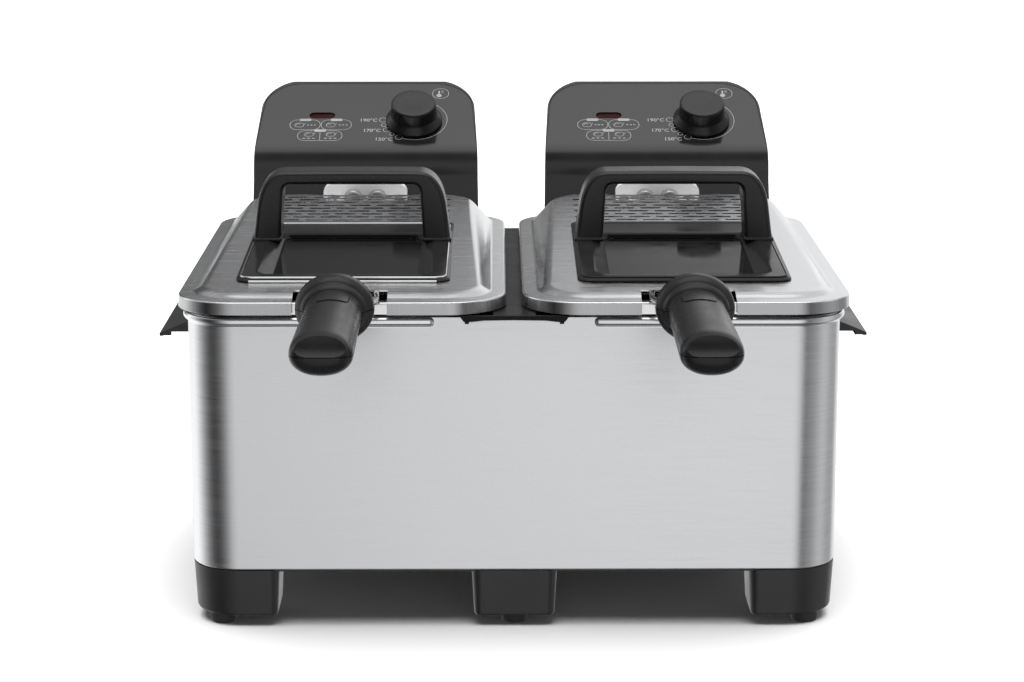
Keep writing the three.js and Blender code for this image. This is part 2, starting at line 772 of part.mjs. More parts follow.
// The steel plate that the element's tubes come out of, with a boss around each.
function elementPlate() {
  const half = PLATE_HALF;
  const top = PLATE_TOP;
  const corner = 8;
  const rear = CONTROL_FRONT - GAP;
  const front = rear - PLATE_THICK;
  const shape = new THREE.Shape();
  shape.moveTo(-half, CONTROL_STEP + 6);
  shape.lineTo(half, CONTROL_STEP + 6);
  shape.lineTo(half, top - corner);
  shape.quadraticCurveTo(half, top, half - corner, top);
  shape.lineTo(corner - half, top);
  shape.quadraticCurveTo(-half, top, -half, top - corner);
  const bosses = tubePair(6.2, front - 5, front + 1);
  return geometryOf(extrudeAlongY(shape, front, rear).add(bosses).subtract(wallHoles(0.4)));
}

// One tube: in over the rim, down the back of the bowl, round the floor and back out.
function heatingElement() {
  const inner = CONTROL_FRONT + 14;
  const half = [
    at(TUBE_X, inner, TUBE_Z),
    at(TUBE_X, TUBE_DROP_Y, TUBE_Z),
    at(TUBE_X, TUBE_DROP_Y, LOOP_Z),
    at(TUBE_X, TUBE_DROP_Y - 24, LOOP_Z),
    at(LOOP_HALF, TUBE_DROP_Y - 24, LOOP_Z),
    at(LOOP_HALF, LOOP_FRONT, LOOP_Z),
  ];
  const otherHalf = half.map((point) => at(-point.x, point.y, point.z)).reverse();
  return bentRod([...half, ...otherHalf], 10, TUBE_RADIUS, 6, 50);
}

// The steel channel that guards the tubes' upright legs, hung from a strap under them.
function elementBracket() {
  const sheet = BRACKET_SHEET;
  const half = BRACKET_HALF;
  const front = BRACKET_FRONT;
  const strapTop = TUBE_Z - TUBE_RADIUS - 2.5;
  const strapRear = CONTROL_FRONT - 2 * GAP - PLATE_THICK;
  const face = block(-half, half, front, front + sheet, 98, strapTop);
  let channel = face.add(block(-half, half, front, strapRear, strapTop - sheet, strapTop));
  for (const side of [-1, 1]) {
    const edges = [side * half, side * (half - sheet)].sort((a, b) => a - b);
    channel = channel.add(block(edges[0], edges[1], front, front + 20, 98, strapTop));
  }
  const slot = block(-TUBE_X - 6, TUBE_X + 6, TUBE_DROP_Y - 8, 360, strapTop - 5, strapTop + 5);
  const bulbSlot = block(BULB_X - 4, BULB_X + 4, TUBE_DROP_Y - 8, 335, strapTop - 5, strapTop + 5);
  return geometryOf(channel.subtract(slot).subtract(bulbSlot));
}

// The thermostat's bulb, on its own tube beside the element.
function thermostatBulb() {
  const corners = [
    at(BULB_X, CONTROL_FRONT + 12, BULB_Z),
    at(BULB_X, TUBE_DROP_Y, BULB_Z),
    at(BULB_X, TUBE_DROP_Y, 110),
  ];
  return bentRod(corners, 9, BULB_RADIUS, 6, 14);
}

// The cord's inlet in the rear cover. A bore runs right through it.
function cordGland() {
  const front = CONTROL_REAR + GAP;
  const collar = rodAlongY(GLAND_X, GLAND_Z, 11, front, front + 3, 14);
  const sleeve = rodAlongY(GLAND_X, GLAND_Z, 7, front, GLAND_REAR, 14);
  return geometryOf(collar.add(sleeve).subtract(rodAlongY(GLAND_X, GLAND_Z, 3.8, front - 5, 480, 10)));
}

// --- Basket handle ---------------------------------------------------------------------------------

// An oval stick along Y, through sections of half width, half height, place and height of centre.
function ovalStick(sections, sides) {
  const rings = sections.map(([halfWidth, halfHeight, y, z]) => {
    const points = [];
    for (let side = 0; side < sides; side++) {
      const angle = (2 * Math.PI * side) / sides;
      const x = halfWidth * Math.cos(angle);
      points.push(at(x, y, z + halfHeight * Math.sin(angle)));
    }
    return points;
  });
  return solid(loft(rings));
}

// The handle before it is split: an oval guard, a stepped collar and the grip with a rounded end.
function handleForm() {
  const half = GRIP_HALF;
  const height = GRIP_HALF_HEIGHT;
  const guard = ovalStick(
    [
      [GUARD_HALF - 1.5, GUARD_HALF_HEIGHT - 1.5, GUARD_REAR, GRIP_Z],
      [GUARD_HALF, GUARD_HALF_HEIGHT, GUARD_REAR - 3, GRIP_Z],
      [GUARD_HALF, GUARD_HALF_HEIGHT, GUARD_FRONT + 4, GRIP_Z],
      [GUARD_HALF - 5, GUARD_HALF_HEIGHT - 5, GUARD_FRONT, GRIP_Z],
    ],
    18,
  );
  const grip = ovalStick(
    [
      [half, height, GUARD_FRONT + 2, GRIP_Z],
      [half + 1, height, GRIP_END + 14, GRIP_Z],
      [half - 2, height - 2.5, GRIP_END + 4, GRIP_Z],
      [half - 9, height - 7, GRIP_END, GRIP_Z],
    ],
    14,
  );
  return guard.add(grip);
}

// The cut that slants the end of the upper shell.
function slantCut() {
  const shape = new THREE.Shape();
  shape.moveTo(GRIP_END + 1, GRIP_Z);
  shape.quadraticCurveTo(GRIP_END + 6, GRIP_Z + 7, GRIP_END + 19, GRIP_Z + 20);
  shape.lineTo(GRIP_END - 10, GRIP_Z + 20);
  shape.lineTo(GRIP_END - 10, GRIP_Z);
  return extrudeAlongX(shape, -40, 40);
}

// The flat channel between the two shells, where the release button's spring lies.
function gripChannel() {
  const half = GRIP_HALF - 4;
  const halfHeight = 4;
  return ovalStick(
    [
      [half, halfHeight, GUARD_FRONT + 6, GRIP_Z],
      [half, halfHeight, GRIP_END + 26, GRIP_Z],
    ],
    10,
  );
}

// The button from above: a straight edge at the front, and a round one towards the guard.
function buttonForm(grow, low, high) {
  const shape = new THREE.Shape();
  const half = BUTTON_HALF + grow;
  shape.moveTo(-half, BUTTON_FRONT - grow);
  shape.lineTo(half, BUTTON_FRONT - grow);
  shape.absarc(0, BUTTON_REAR - BUTTON_HALF, half, 0, Math.PI, false);
  return solid(extrude(shape, high - low, 6).translate(0, 0, low));
}

function gripUpper() {
  const above = block(-60, 60, -220, 0, GRIP_Z + GAP / 2, 300);
  const form = handleForm().subtract(slantCut()).intersect(above);
  return geometryOf(form.subtract(gripChannel()).subtract(buttonForm(0.4, GRIP_Z, 300)));
}

function gripLower() {
  const below = block(-60, 60, -220, 0, 100, GRIP_Z - GAP / 2);
  return geometryOf(handleForm().intersect(below).subtract(gripChannel()));
}

function releaseButton() {
  const low = GRIP_Z + GRIP_HALF_HEIGHT - 7;
  return geometryOf(buttonForm(0, low, GRIP_Z + GRIP_HALF_HEIGHT + 1.5));
}

// One bent wire: out of the guard, over the bowl's rim, down the basket's front and back.
function basketRods() {
  const overRim = BOWL_RIM + ROD_RADIUS + 1.3;
  const down = BASKET_FRONT - 2 - GAP - ROD_RADIUS;
  const half = [
    at(17, GUARD_REAR + 2 * GAP, GRIP_Z),
    at(24.5, -4, overRim),
    at(23, down, overRim),
    at(23, down, 150),
  ];
  const otherHalf = half.map((point) => at(-point.x, point.y, point.z)).reverse();
  return bentRod([...half, ...otherHalf], 4, ROD_RADIUS, 6, 36);
}

// --- Assembly --------------------------------------------------------------------------------------

const FINISHES = {
  steel: { color: 0xc8c8c6, metalness: 1, roughness: 0.34 },
  brightSteel: { color: 0xd8d8d8, metalness: 1, roughness: 0.16 },
  blackPlastic: { color: 0x1c1c1d, metalness: 0, roughness: 0.5 },
  glossBlack: { color: 0x0c0c0d, metalness: 0, roughness: 0.18 },
  greyPanel: { color: 0x2f3032, metalness: 0, roughness: 0.3 },
  glass: { color: 0x1a1c1d, metalness: 0, roughness: 0.05 },
  red: { color: 0x7a1210, metalness: 0, roughness: 0.2 },
  rubber: { color: 0x151515, metalness: 0, roughness: 0.85 },
  filter: { color: 0x9a9a98, metalness: 0.8, roughness: 0.6 },
};

function piece(name, geometry, finish) {
  const mesh = new THREE.Mesh(geometry, new THREE.MeshStandardMaterial(FINISHES[finish]));
  mesh.name = name;
  return mesh;
}

function housing() {
  const group = new THREE.Group();
  group.add(piece("outer_casing", outerCasing(), "steel"));
  group.add(piece("base_tray", baseTray(), "blackPlastic"));
  group.add(piece("centre_bridge", centreBridge(), "blackPlastic"));
  for (const [row, y] of [["front", FOOT_INSET], ["rear", CASE_DEPTH - FOOT_INSET]])
    for (const [place, x] of [["left", -FOOT_X], ["centre", 0], ["right", FOOT_X]]) {
      const foot = piece(`foot_${row}_${place}`, rubberFoot(), "rubber");
      foot.position.set(x, y, 0);
      group.add(foot);
    }
  const rightHandle = piece("carry_handle_right", carryHandle(), "blackPlastic");
  const leftHandle = piece("carry_handle_left", carryHandle(), "blackPlastic");
  leftHandle.rotation.z = Math.PI;
  leftHandle.position.y = CARRY_FRONT + CARRY_REAR;
  group.add(rightHandle, leftHandle);
  return group;
}

const FRYER_PIECES = [
  ["guide_rail", guideRail, "steel"],
  ["bowl", bowl, "brightSteel"],
  ["control_housing", controlHousing, "blackPlastic"],
  ["control_rear_cover", controlRearCover, "blackPlastic"],
  ["control_fascia", controlFascia, "greyPanel"],
  ["knob", knob, "blackPlastic"],
  ["lamp_lens", lampLens, "red"],
  ["thermostat", thermostatBody, "filter"],
  ["safety_cutout", safetyCutout, "filter"],
  ["element_plate", elementPlate, "brightSteel"],
  ["heating_element", heatingElement, "filter"],
  ["element_bracket", elementBracket, "brightSteel"],
  ["thermostat_bulb", thermostatBulb, "brightSteel"],
  ["cord_gland", cordGland, "rubber"],
  ["basket", basket, "brightSteel"],
  ["basket_rods", basketRods, "brightSteel"],
  ["grip_upper", gripUpper, "blackPlastic"],
  ["grip_lower", gripLower, "blackPlastic"],
  ["release_button", releaseButton, "blackPlastic"],
  ["lid_shell", lidShell, "steel"],
  ["window_frame", windowFrame, "glossBlack"],
  ["window_glass", windowGlass, "glass"],
  ["lid_filter", lidFilter, "filter"],
];

function fryer(side, x) {
  const group = new THREE.Group();
  for (const [name, build, finish] of FRYER_PIECES) group.add(piece(`${side}_${name}`, build(), finish));
  group.position.x = x;
  return group;
}

const assembly = new THREE.Group();
assembly.add(housing(), fryer("left", -FRYER_X), fryer("right", FRYER_X));
assembly.position.y = FRONT_FACE;

const deepFryer = new THREE.Group();
deepFryer.add(assembly);

export default deepFryer;
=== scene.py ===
"""A twin deep fryer's looks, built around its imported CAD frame."""
import math

import bmesh
import bpy
from mathutils import Matrix, Vector


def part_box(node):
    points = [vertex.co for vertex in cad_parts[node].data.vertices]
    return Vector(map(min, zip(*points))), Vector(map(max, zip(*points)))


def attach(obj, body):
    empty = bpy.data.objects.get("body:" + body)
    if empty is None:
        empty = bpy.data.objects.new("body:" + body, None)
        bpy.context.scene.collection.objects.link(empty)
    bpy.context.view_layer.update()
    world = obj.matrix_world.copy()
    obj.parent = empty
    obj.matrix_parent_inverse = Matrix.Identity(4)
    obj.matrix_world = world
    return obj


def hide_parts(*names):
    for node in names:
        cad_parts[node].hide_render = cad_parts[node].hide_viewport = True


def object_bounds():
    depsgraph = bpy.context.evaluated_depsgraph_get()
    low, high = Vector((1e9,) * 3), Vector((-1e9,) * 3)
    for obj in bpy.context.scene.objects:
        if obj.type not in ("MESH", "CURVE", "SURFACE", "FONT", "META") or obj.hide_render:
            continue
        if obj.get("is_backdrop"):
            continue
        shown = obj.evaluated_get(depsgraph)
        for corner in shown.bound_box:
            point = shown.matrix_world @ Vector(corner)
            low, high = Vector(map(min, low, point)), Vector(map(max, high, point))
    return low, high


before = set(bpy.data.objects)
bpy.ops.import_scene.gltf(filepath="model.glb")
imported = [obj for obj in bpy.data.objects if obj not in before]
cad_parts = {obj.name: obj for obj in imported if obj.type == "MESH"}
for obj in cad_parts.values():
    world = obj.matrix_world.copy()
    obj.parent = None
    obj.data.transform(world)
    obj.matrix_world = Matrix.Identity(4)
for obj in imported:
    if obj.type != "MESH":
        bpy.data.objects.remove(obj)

cad_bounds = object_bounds()

# Lengths below are millimetres. X is from a fryer's centre or the casing's, Y from the casing's
# front face, and Z from the floor. MM turns them into the frame's metres.
MM = 0.001
FRONT_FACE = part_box("base_tray")[0].y
SIDES = ("left", "right")


def extent(node):
    """A CAD node's lowest and highest corners, in millimetres from the casing's front face."""
    low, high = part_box(node)
    shift = Vector((0, FRONT_FACE, 0))
    return (low - shift) / MM, (high - shift) / MM


def fryer_x(side):
    low, high = extent(side + "_bowl")
    return (low.x + high.x) / 2


# --- Outlines, skins and tubes ---


def ring(left, right, front, rear, radii, z, rear_inset=0.0, steps=8):
    """A rounded rectangle from above, anticlockwise from its front right corner. Its rear corners may
    be set in from its sides, and z may be a function of y."""
    front_right, rear_right, rear_left, front_left = radii
    corners = (
        (right - front_right, front + front_right, front_right, -90),
        (right - rear_inset - rear_right, rear - rear_right, rear_right, 0),
        (left + rear_inset + rear_left, rear - rear_left, rear_left, 90),
        (left + front_left, front + front_left, front_left, 180),
    )
    points = []
    for x, y, radius, start in corners:
        for step in range(steps + 1):
            angle = math.radians(start + 90 * step / steps)
            point_y = y + radius * math.sin(angle)
            height = z(point_y) if callable(z) else z
            points.append(Vector((x + radius * math.cos(angle), point_y, height)))
    return points


def even_ring(half, front, rear, radius, z, rear_inset=0.0, steps=8):
    return ring(-half, half, front, rear, (radius,) * 4, z, rear_inset, steps)


def toward(point, target, distance):
    """The point moved towards a target, at most halfway."""
    way = target - point
    if way.length < 1e-9:
        return point.copy()
    return point + way * min(distance / way.length, 0.48)


def curve(start, middle, end, steps):
    """Points along a quadratic curve."""
    places = [step / steps for step in range(steps + 1)]
    return [start * (1 - t) ** 2 + middle * 2 * t * (1 - t) + end * t * t for t in places]


def soften(stations, steps=5, closed=False):
    """Rings for a skin from (ring, radius) stations: each station's edge is rounded by its radius."""
    rings = []
    count = len(stations)
    for i, (points, radius) in enumerate(stations):
        at_end = not closed and i in (0, count - 1)
        if radius == 0 or at_end:
            rings.append(points)
            continue
        before, after = stations[i - 1][0], stations[(i + 1) % count][0]
        curves = [
            curve(toward(point, a, radius), point, toward(point, b, radius), steps)
            for a, point, b in zip(before, points, after)
        ]
        rings += zip(*curves)
    return rings


def skin(rings, closed=False):
    """Vertices and faces of the skin through a stack of rings, capped unless it closes on itself."""
    count = len(rings[0])
    levels = len(rings)
    vertices = [point for points in rings for point in points]
    faces = []
    for level in range(levels if closed else levels - 1):
        above = (level + 1) % levels
        for i in range(count):
            j = (i + 1) % count
            faces.append((level * count + i, level * count + j, above * count + j, above * count + i))
    if not closed:
        faces.append(tuple(reversed(range(count))))
        faces.append(tuple(range((levels - 1) * count, levels * count)))
    return vertices, faces


def arc(x, y, radius, start, end, steps):
    """Points on an arc, with its angles in degrees."""
    angles = [math.radians(start + (end - start) * step / steps) for step in range(steps + 1)]
    return [(x + radius * math.cos(a), y + radius * math.sin(a)) for a in angles]


def bend(corners, radii, steps=6):
    """A line through the corners, with each bend rounded: by its own radius, or all by the one given."""
    corners = [Vector(corner) for corner in corners]
    if isinstance(radii, (int, float)):
        radii = [radii] * len(corners)
    path = [corners[0]]
    for before, corner, after, radius in zip(corners, corners[1:], corners[2:], radii[1:]):
        if radius:
            path += curve(toward(corner, before, radius), corner, toward(corner, after, radius), steps)
        else:
            path.append(corner)
    return path + [corners[-1]]


def tube(path, radius, sides=10, closed=False):
    """Vertices and faces of a round tube along a line of points."""
    count = len(path)
    tangents = []
    for i in range(count):
        before = path[i - 1] if closed or i else path[0]
        after = path[(i + 1) % count] if closed or i < count - 1 else path[-1]
        tangents.append((after - before).normalized())
    across = tangents[0].orthogonal().normalized()
    rings = []
    for point, tangent in zip(path, tangents):
        across = (across - tangent * across.dot(tangent)).normalized()
        up = tangent.cross(across)
        turn = [2 * math.pi * side / sides for side in range(sides)]
        rings.append([point + (across * math.cos(a) + up * math.sin(a)) * radius for a in turn])
    return skin(rings, closed)


def joined(parts):
    """One set of vertices and faces from several."""
    vertices, faces = [], []
    for more_vertices, more_faces in parts:
        base = len(vertices)
        vertices += list(more_vertices)
        faces += [tuple(base + i for i in face) for face in more_faces]
    return vertices, faces


def turned(profile, segments=48):
    """A turned shape about Z from (radius, height) pairs that go up its outside."""
    rings = []
    for radius, height in profile:
        radius = max(radius, 0.02)
        turn = [2 * math.pi * i / segments for i in range(segments)]
        rings.append([Vector((radius * math.cos(a), radius * math.sin(a), height)) for a in turn])
    return skin(rings)


def prism(outline, low, high, axis="z"):
    """A straight solid over an outline. Along z it is drawn in x, y; along y in x, z; along x in y, z."""
    place = {
        "z": lambda a, b, h: Vector((a, b, h)),
        "y": lambda a, b, h: Vector((a, -h, b)),
        "x": lambda a, b, h: Vector((h, a, b)),
    }[axis]
    if axis == "y":
        low, high = -high, -low
    return skin([[place(a, b, low) for a, b in outline], [place(a, b, high) for a, b in outline]])


def box_shape(left, right, front, rear, bottom, top):
    outline = [(left, front), (right, front), (right, rear), (left, rear)]
    return prism(outline, bottom, top)


def stadium(half_length, radius, steps=6):
    """A slot's outline: two straight sides and two round ends."""
    middle = half_length - radius
    return arc(middle, 0, radius, -90, 90, steps) + arc(-middle, 0, radius, 90, 270, steps)


def moved(shape, matrix):
    vertices, faces = shape
    return [matrix @ vertex for vertex in vertices], faces


# --- Objects ---


def added(name, data):
    """A new object in the scene."""
    obj = bpy.data.objects.new(name, data)
    bpy.context.scene.collection.objects.link(obj)
    return obj


def source(shape, material=None):
    """A working object in millimetres. put() places a copy of it in the frame, and then it is removed."""
    mesh = bpy.data.meshes.new("source")
    vertices, faces = shape
    mesh.from_pydata(vertices, [], faces)
    mesh.validate()
    if material:
        mesh.materials.append(material)
    return added("source", mesh)


def settle(obj):
    """Applies an object's modifiers."""
    graph = bpy.context.evaluated_depsgraph_get()
    mesh = bpy.data.meshes.new_from_object(obj.evaluated_get(graph), depsgraph=graph)
    obj.modifiers.clear()
    obj.data = mesh
    return obj


def twin(obj):
    """A second working object of the same shape."""
    return added("source", obj.data.copy())


def combine(obj, shape, operation="DIFFERENCE"):
    """Cuts, joins or crosses an object with a shape."""
    other = source(shape)
    modifier = obj.modifiers.new("combine", "BOOLEAN")
    modifier.object = other
    modifier.operation = operation
    modifier.solver = "EXACT"
    settle(obj)
    bpy.data.objects.remove(other)
    return obj


def merge(obj, other):
    """Adds another working object's faces to an object's mesh."""
    mesh = bmesh.new()
    mesh.from_mesh(obj.data)
    mesh.from_mesh(other.data)
    mesh.to_mesh(obj.data)
    mesh.free()
    bpy.data.objects.remove(other)
    return obj


def bevelled(obj, width, segments=3, angle=35):
    modifier = obj.modifiers.new("bevel", "BEVEL")
    modifier.width = width
    modifier.segments = segments
    modifier.limit_method = "ANGLE"
    modifier.angle_limit = math.radians(angle)
    return settle(obj)


def put(name, obj, body, x=0.0, nodes=(), smooth=40, weighted=False):
    """Places a copy of a working object in the frame, riding on a body, for the CAD nodes it stands for."""
    mesh = obj.data.copy()
    mesh.transform(Matrix.Translation((x * MM, FRONT_FACE, 0)) @ Matrix.Scale(MM, 4))
    mesh.shade_smooth()
    mesh.set_sharp_from_angle(angle=math.radians(smooth))
    mesh.name = name
    placed = added(name, mesh)
    if weighted:
        modifier = placed.modifiers.new("normals", "WEIGHTED_NORMAL")
        modifier.keep_sharp = True
        settle(placed)
    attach(placed, body)
    if nodes:
        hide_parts(*nodes)
    return placed


def put_pair(name, obj, body, nodes=(), smooth=40, weighted=False):
    """Places a working object on both fryers. Names, bodies and nodes get each fryer's side in front."""
    for side in SIDES:
        side_nodes = [f"{side}_{node}" for node in nodes]
        put(f"{side}_{name}", obj, f"{side}_{body}", fryer_x(side), side_nodes, smooth, weighted)
    bpy.data.objects.remove(obj)


def put_on_housing(name, obj, nodes=(), smooth=40, weighted=False):
    """Places a working object on the housing."""
    put(name, obj, "housing", 0.0, nodes, smooth, weighted)
    bpy.data.objects.remove(obj)


# --- Materials ---


def fill(tree, socket, value):
    """Sets a socket to a value, or links it to another node's output."""
    if isinstance(value, bpy.types.NodeSocket):
        tree.links.new(value, socket)
    else:
        socket.default_value = value


def add_node(tree, kind, *values, **named):
    """A new shader node, with its inputs filled in turn or by name."""
    node = tree.nodes.new("ShaderNode" + kind)
    for socket, value in zip(node.inputs, values):
        fill(tree, socket, value)
    for name, value in named.items():
        fill(tree, node.inputs[name.replace("_", " ")], value)
    return node


class Finish:
    """A node material on the Principled shader, with its patterns in the object's own coordinates."""

    def __init__(self, name, color, roughness, metallic=0.0, **sockets):
        self.material = bpy.data.materials.new(name)
        self.material.use_nodes = True
        self.tree = self.material.node_tree
        self.color = color
        values = {"Base Color": (*color, 1), "Roughness": roughness, "Metallic": metallic, **sockets}
        for socket, value in values.items():
            self.set(socket.replace("_", " "), value)
        self.place = self.add("TexCoord").outputs["Object"]

    def add(self, kind, *values, **named):
        return add_node(self.tree, kind, *values, **named)

    def set(self, socket, value):
        fill(self.tree, self.tree.nodes["Principled BSDF"].inputs[socket], value)

    def noise(self, scale, detail=3.0, stretch=(1, 1, 1), roughness=0.55):
        """A noise value from 0 to 1. scale is in cells per metre, and stretch multiplies it by axis."""
        place = self.add("Mapping", Vector=self.place, Scale=stretch).outputs["Vector"]
        texture = self.add("TexNoise", Vector=place, Scale=scale, Detail=detail, Roughness=roughness)
        return texture.outputs["Fac"]

    def vary_color(self, value, dark, light):
        """Runs the colour from dark to light, as multiples of the base colour."""
        ramp = self.add("ValToRGB", value)
        for element, place, level in zip(ramp.color_ramp.elements, (0.3, 0.7), (dark, light)):
            element.position = place
            element.color = (*[min(1, channel * level) for channel in self.color], 1)
        self.set("Base Color", ramp.outputs["Color"])

    def vary_roughness(self, value, low, high):
        spread = self.add("MapRange", Value=value, From_Min=0.3, From_Max=0.7, To_Min=low, To_Max=high)
        self.set("Roughness", spread.outputs["Result"])

    def bump(self, value, strength, depth):
        """Bump from a value, with its depth in millimetres."""
        node = self.add("Bump", Strength=strength, Distance=depth * MM, Height=value)
        self.set("Normal", node.outputs["Normal"])


def brushed_steel(
    name, color, roughness, stretch, contrast=0.08, depth=0.012, axis="Z", turn=0.25, scale=900
):
    """Steel with fine brushing. stretch says how short the grain is along each axis, and the
    reflections are drawn out across it: axis and turn give that direction."""
    finish = Finish(name, color, roughness, 1.0, Anisotropic=0.75, Anisotropic_Rotation=turn)
    tangent = finish.add("Tangent")
    tangent.direction_type = "RADIAL"
    tangent.axis = axis
    finish.set("Tangent", tangent.outputs["Tangent"])
    grain = finish.noise(scale, 4, stretch, 0.7)
    finish.vary_color(grain, 1 - contrast, 1 + contrast)
    finish.vary_roughness(grain, roughness - 0.07, roughness + 0.07)
    finish.bump(grain, 0.35, depth)
    return finish.material


def plain_metal(name, color, roughness, contrast=0.06, metallic=1.0):
    """Bright or dull metal with faint handling marks."""
    finish = Finish(name, color, roughness, metallic=metallic)
    marks = finish.noise(60, 5)
    finish.vary_color(marks, 1 - contrast, 1 + contrast)
    finish.vary_roughness(marks, max(0.03, roughness - 0.04), roughness + 0.06)
    finish.bump(finish.noise(700, 2), 0.1, 0.01)
    return finish.material


def moulded_plastic(name, color, roughness, grain=2200, depth=0.03, strength=0.4, **sockets):
    """Plastic with a fine moulded grain and a slow change of sheen."""
    finish = Finish(name, color, roughness, **sockets)
    slow = finish.noise(35, 3)
    finish.vary_color(slow, 0.9, 1.12)
    finish.vary_roughness(slow, max(0.02, roughness - 0.05), roughness + 0.06)
    finish.bump(finish.noise(grain, 3), strength, depth)
    return finish.material


STEEL = (0.775, 0.783, 0.8)
SOOT = (0.009, 0.009, 0.0095)
CASING_STEEL = brushed_steel("casing steel", STEEL, 0.34, (0.03, 0.03, 1))
LIP_STEEL = plain_metal("lip steel", STEEL, 0.17, 0.04)
LID_STEEL = brushed_steel("lid steel", STEEL, 0.22, (0.03, 1, 1), 0.05, 0.001, "X", 0.0)
# The skirt's steel is the lid's steel made darker. Its upright grain is the skirt's own; its darker colour
# is painted shade.
SHADED_SKIRT_STEEL = brushed_steel(
    "lid skirt steel with painted shade", (0.488, 0.492, 0.5), 0.3, (1, 1, 0.01), 0.09, 0.0005, scale=260
)
BOWL_STEEL = plain_metal("bowl steel", (0.8, 0.8, 0.79), 0.14)
PLATE_STEEL = plain_metal("bracket steel", (0.86, 0.86, 0.86), 0.42, 0.06, 0.35)
# Darker than the plate's steel, so the bosses and screws look shaded: painted shade.
SHADED_BOSS_STEEL = plain_metal("boss steel with painted shade", (0.55, 0.55, 0.55), 0.3)
CHROME = plain_metal("chrome wire", (0.85, 0.85, 0.85), 0.09, 0.03)
ELEMENT_METAL = plain_metal("element sheath", (0.2, 0.19, 0.18), 0.42, 0.15)
# The filter mesh is real; its near-black colour is painted shade seen through the slots.
FILTER_MESH_PAINTED_SHADE = plain_metal("filter mesh with painted shade", (0.02, 0.02, 0.02), 0.6, 0.4)
BASE_PLASTIC = moulded_plastic("base plastic", (0.011, 0.011, 0.0115), 0.4)
BLACK_PLASTIC = moulded_plastic("black plastic", (0.012, 0.012, 0.0125), 0.22, 2200, 0.01, 0.15, IOR=1.42)
GRIP_PLASTIC = moulded_plastic("grip plastic", (0.007, 0.007, 0.0075), 0.27, 2200, 0.002, 0.05, IOR=1.34)
KNOB_PLASTIC = moulded_plastic("knob plastic", (0.006, 0.006, 0.0065), 0.24, 2200, 0.01, 0.15, IOR=1.4)
FRAME_PLASTIC = moulded_plastic("frame plastic", SOOT, 0.2, 1500, 0.004, 0.1, IOR=1.2)
BRIDGE_PLASTIC = moulded_plastic("bridge plastic", SOOT, 0.3, 1500, 0.01, 0.1, IOR=1.1)
ARCH_PLASTIC = moulded_plastic("arch plastic", SOOT, 0.28, 1500, 0.006, 0.12, IOR=1.4)
PANEL_PLASTIC = moulded_plastic("panel plastic", SOOT, 0.07, 1800, 0.001, 0.05, IOR=1.46)
PRINT_INK = moulded_plastic("print ink", (0.2, 0.2, 0.205), 0.5, 1500, 0.01, 0.1)
RUBBER = moulded_plastic("rubber", (0.018, 0.018, 0.018), 0.7, 1500, 0.05, 0.5)
GLASS = moulded_plastic("window glass", (0.006, 0.006, 0.0065), 0.06, 300, 0.001, 0.03, IOR=1.12)
LAMP = moulded_plastic("lamp lens", (0.014, 0.002, 0.002), 0.2, 600, 0.01, 0.2, IOR=1.15)

# --- Housing ---

base_low, base_high = extent("base_tray")
casing_low, casing_high = extent("outer_casing")
bowl_low, bowl_high = extent("left_bowl")
lid_low, lid_high = extent("left_lid_shell")
CASE_HALF = base_high.x + 1.5  # The sheet stands a little outside the tray, as in the photo.
CASE_DEPTH = base_high.y
CASE_BOTTOM = casing_low.z
CASE_TOP = casing_high.z
CASE_RADIUS = 33
SHEET = 1.2
LIP = -casing_low.y
LIP_HEIGHT = 6.0
LIP_END = 55.4  # Where the lip stops on each side of the bridge.


def case_ring(inward, z, steps=12):
    radius = CASE_RADIUS - inward
    return even_ring(CASE_HALF - inward, inward, CASE_DEPTH - inward, radius, z, steps=steps)


def make_casing():
    """The wrapped sheet, with a small hem at its foot."""
    stations = [
        (case_ring(SHEET, CASE_BOTTOM), 0.4),
        (case_ring(0.6, CASE_BOTTOM), 0.3),
        (case_ring(0, CASE_BOTTOM + 0.8), 0.5),
        (case_ring(0, CASE_TOP), 0.6),
        (case_ring(SHEET, CASE_TOP), 0.3),
    ]
    casing = source(skin(soften(stations, 3, closed=True), closed=True), CASING_STEEL)
    put_on_housing("casing", casing, ["outer_casing"])


def lip_path():
    """The line round the casing's top from one end of the lip to the other."""
    return [Vector((LIP_END, 0, 0)), *case_ring(0, 0, steps=14), Vector((-LIP_END, 0, 0))]


def make_lip():
    """The rolled edge along the casing's top, closed by a rounded end on each side of the bridge."""
    bead, root = LIP_HEIGHT / 2 - 0.1, 0.4
    half_round = arc(0, 0, 1, 0, 180, 14)
    section = [(z * bead - LIP_HEIGHT / 2, root + out * (LIP - root)) for z, out in half_round]
    section += [(-6.3, 0.2), (-6.8, 0.05), (-7.3, -0.02), (-7.3, -0.6), (-0.2, -0.6)]
    path = lip_path()
    rings = []
    for before, point, after in zip([path[0], *path], path, [*path[1:], path[-1]]):
        tangent = (after - before).normalized()
        outward = Vector((tangent.y, -tangent.x, 0))
        rings.append([point + outward * out + Vector((0, 0, CASE_TOP + height)) for height, out in section])

    def end_rings(points, way, end, steps=5):
        """Rings that shrink to a rounded end beyond the path."""
        made = []
        middle = end + Vector((0, 0, CASE_TOP - LIP_HEIGHT / 2))
        for step in range(1, steps + 1):
            angle = math.radians(90 * step / steps)
            scale = max(math.cos(angle), 0.02)
            out = Vector((way * LIP_HEIGHT / 2 * math.sin(angle), 0, 0))
            made.append([middle + (point - middle) * scale + out for point in points])
        return made

    first = end_rings(rings[0], -1, path[0])
    last = end_rings(rings[-1], 1, path[-1])
    lip = source(skin(first[::-1] + rings + last), LIP_STEEL)
    put_on_housing("casing_lip", lip, smooth=60)


LEG_BOTTOM = base_low.z
LEG_TOP = CASE_BOTTOM - 0.4
LEG_DEPTH = 50
CORNER_LEG_WIDTH = 60
CENTRE_LEG_HALF = 28.6


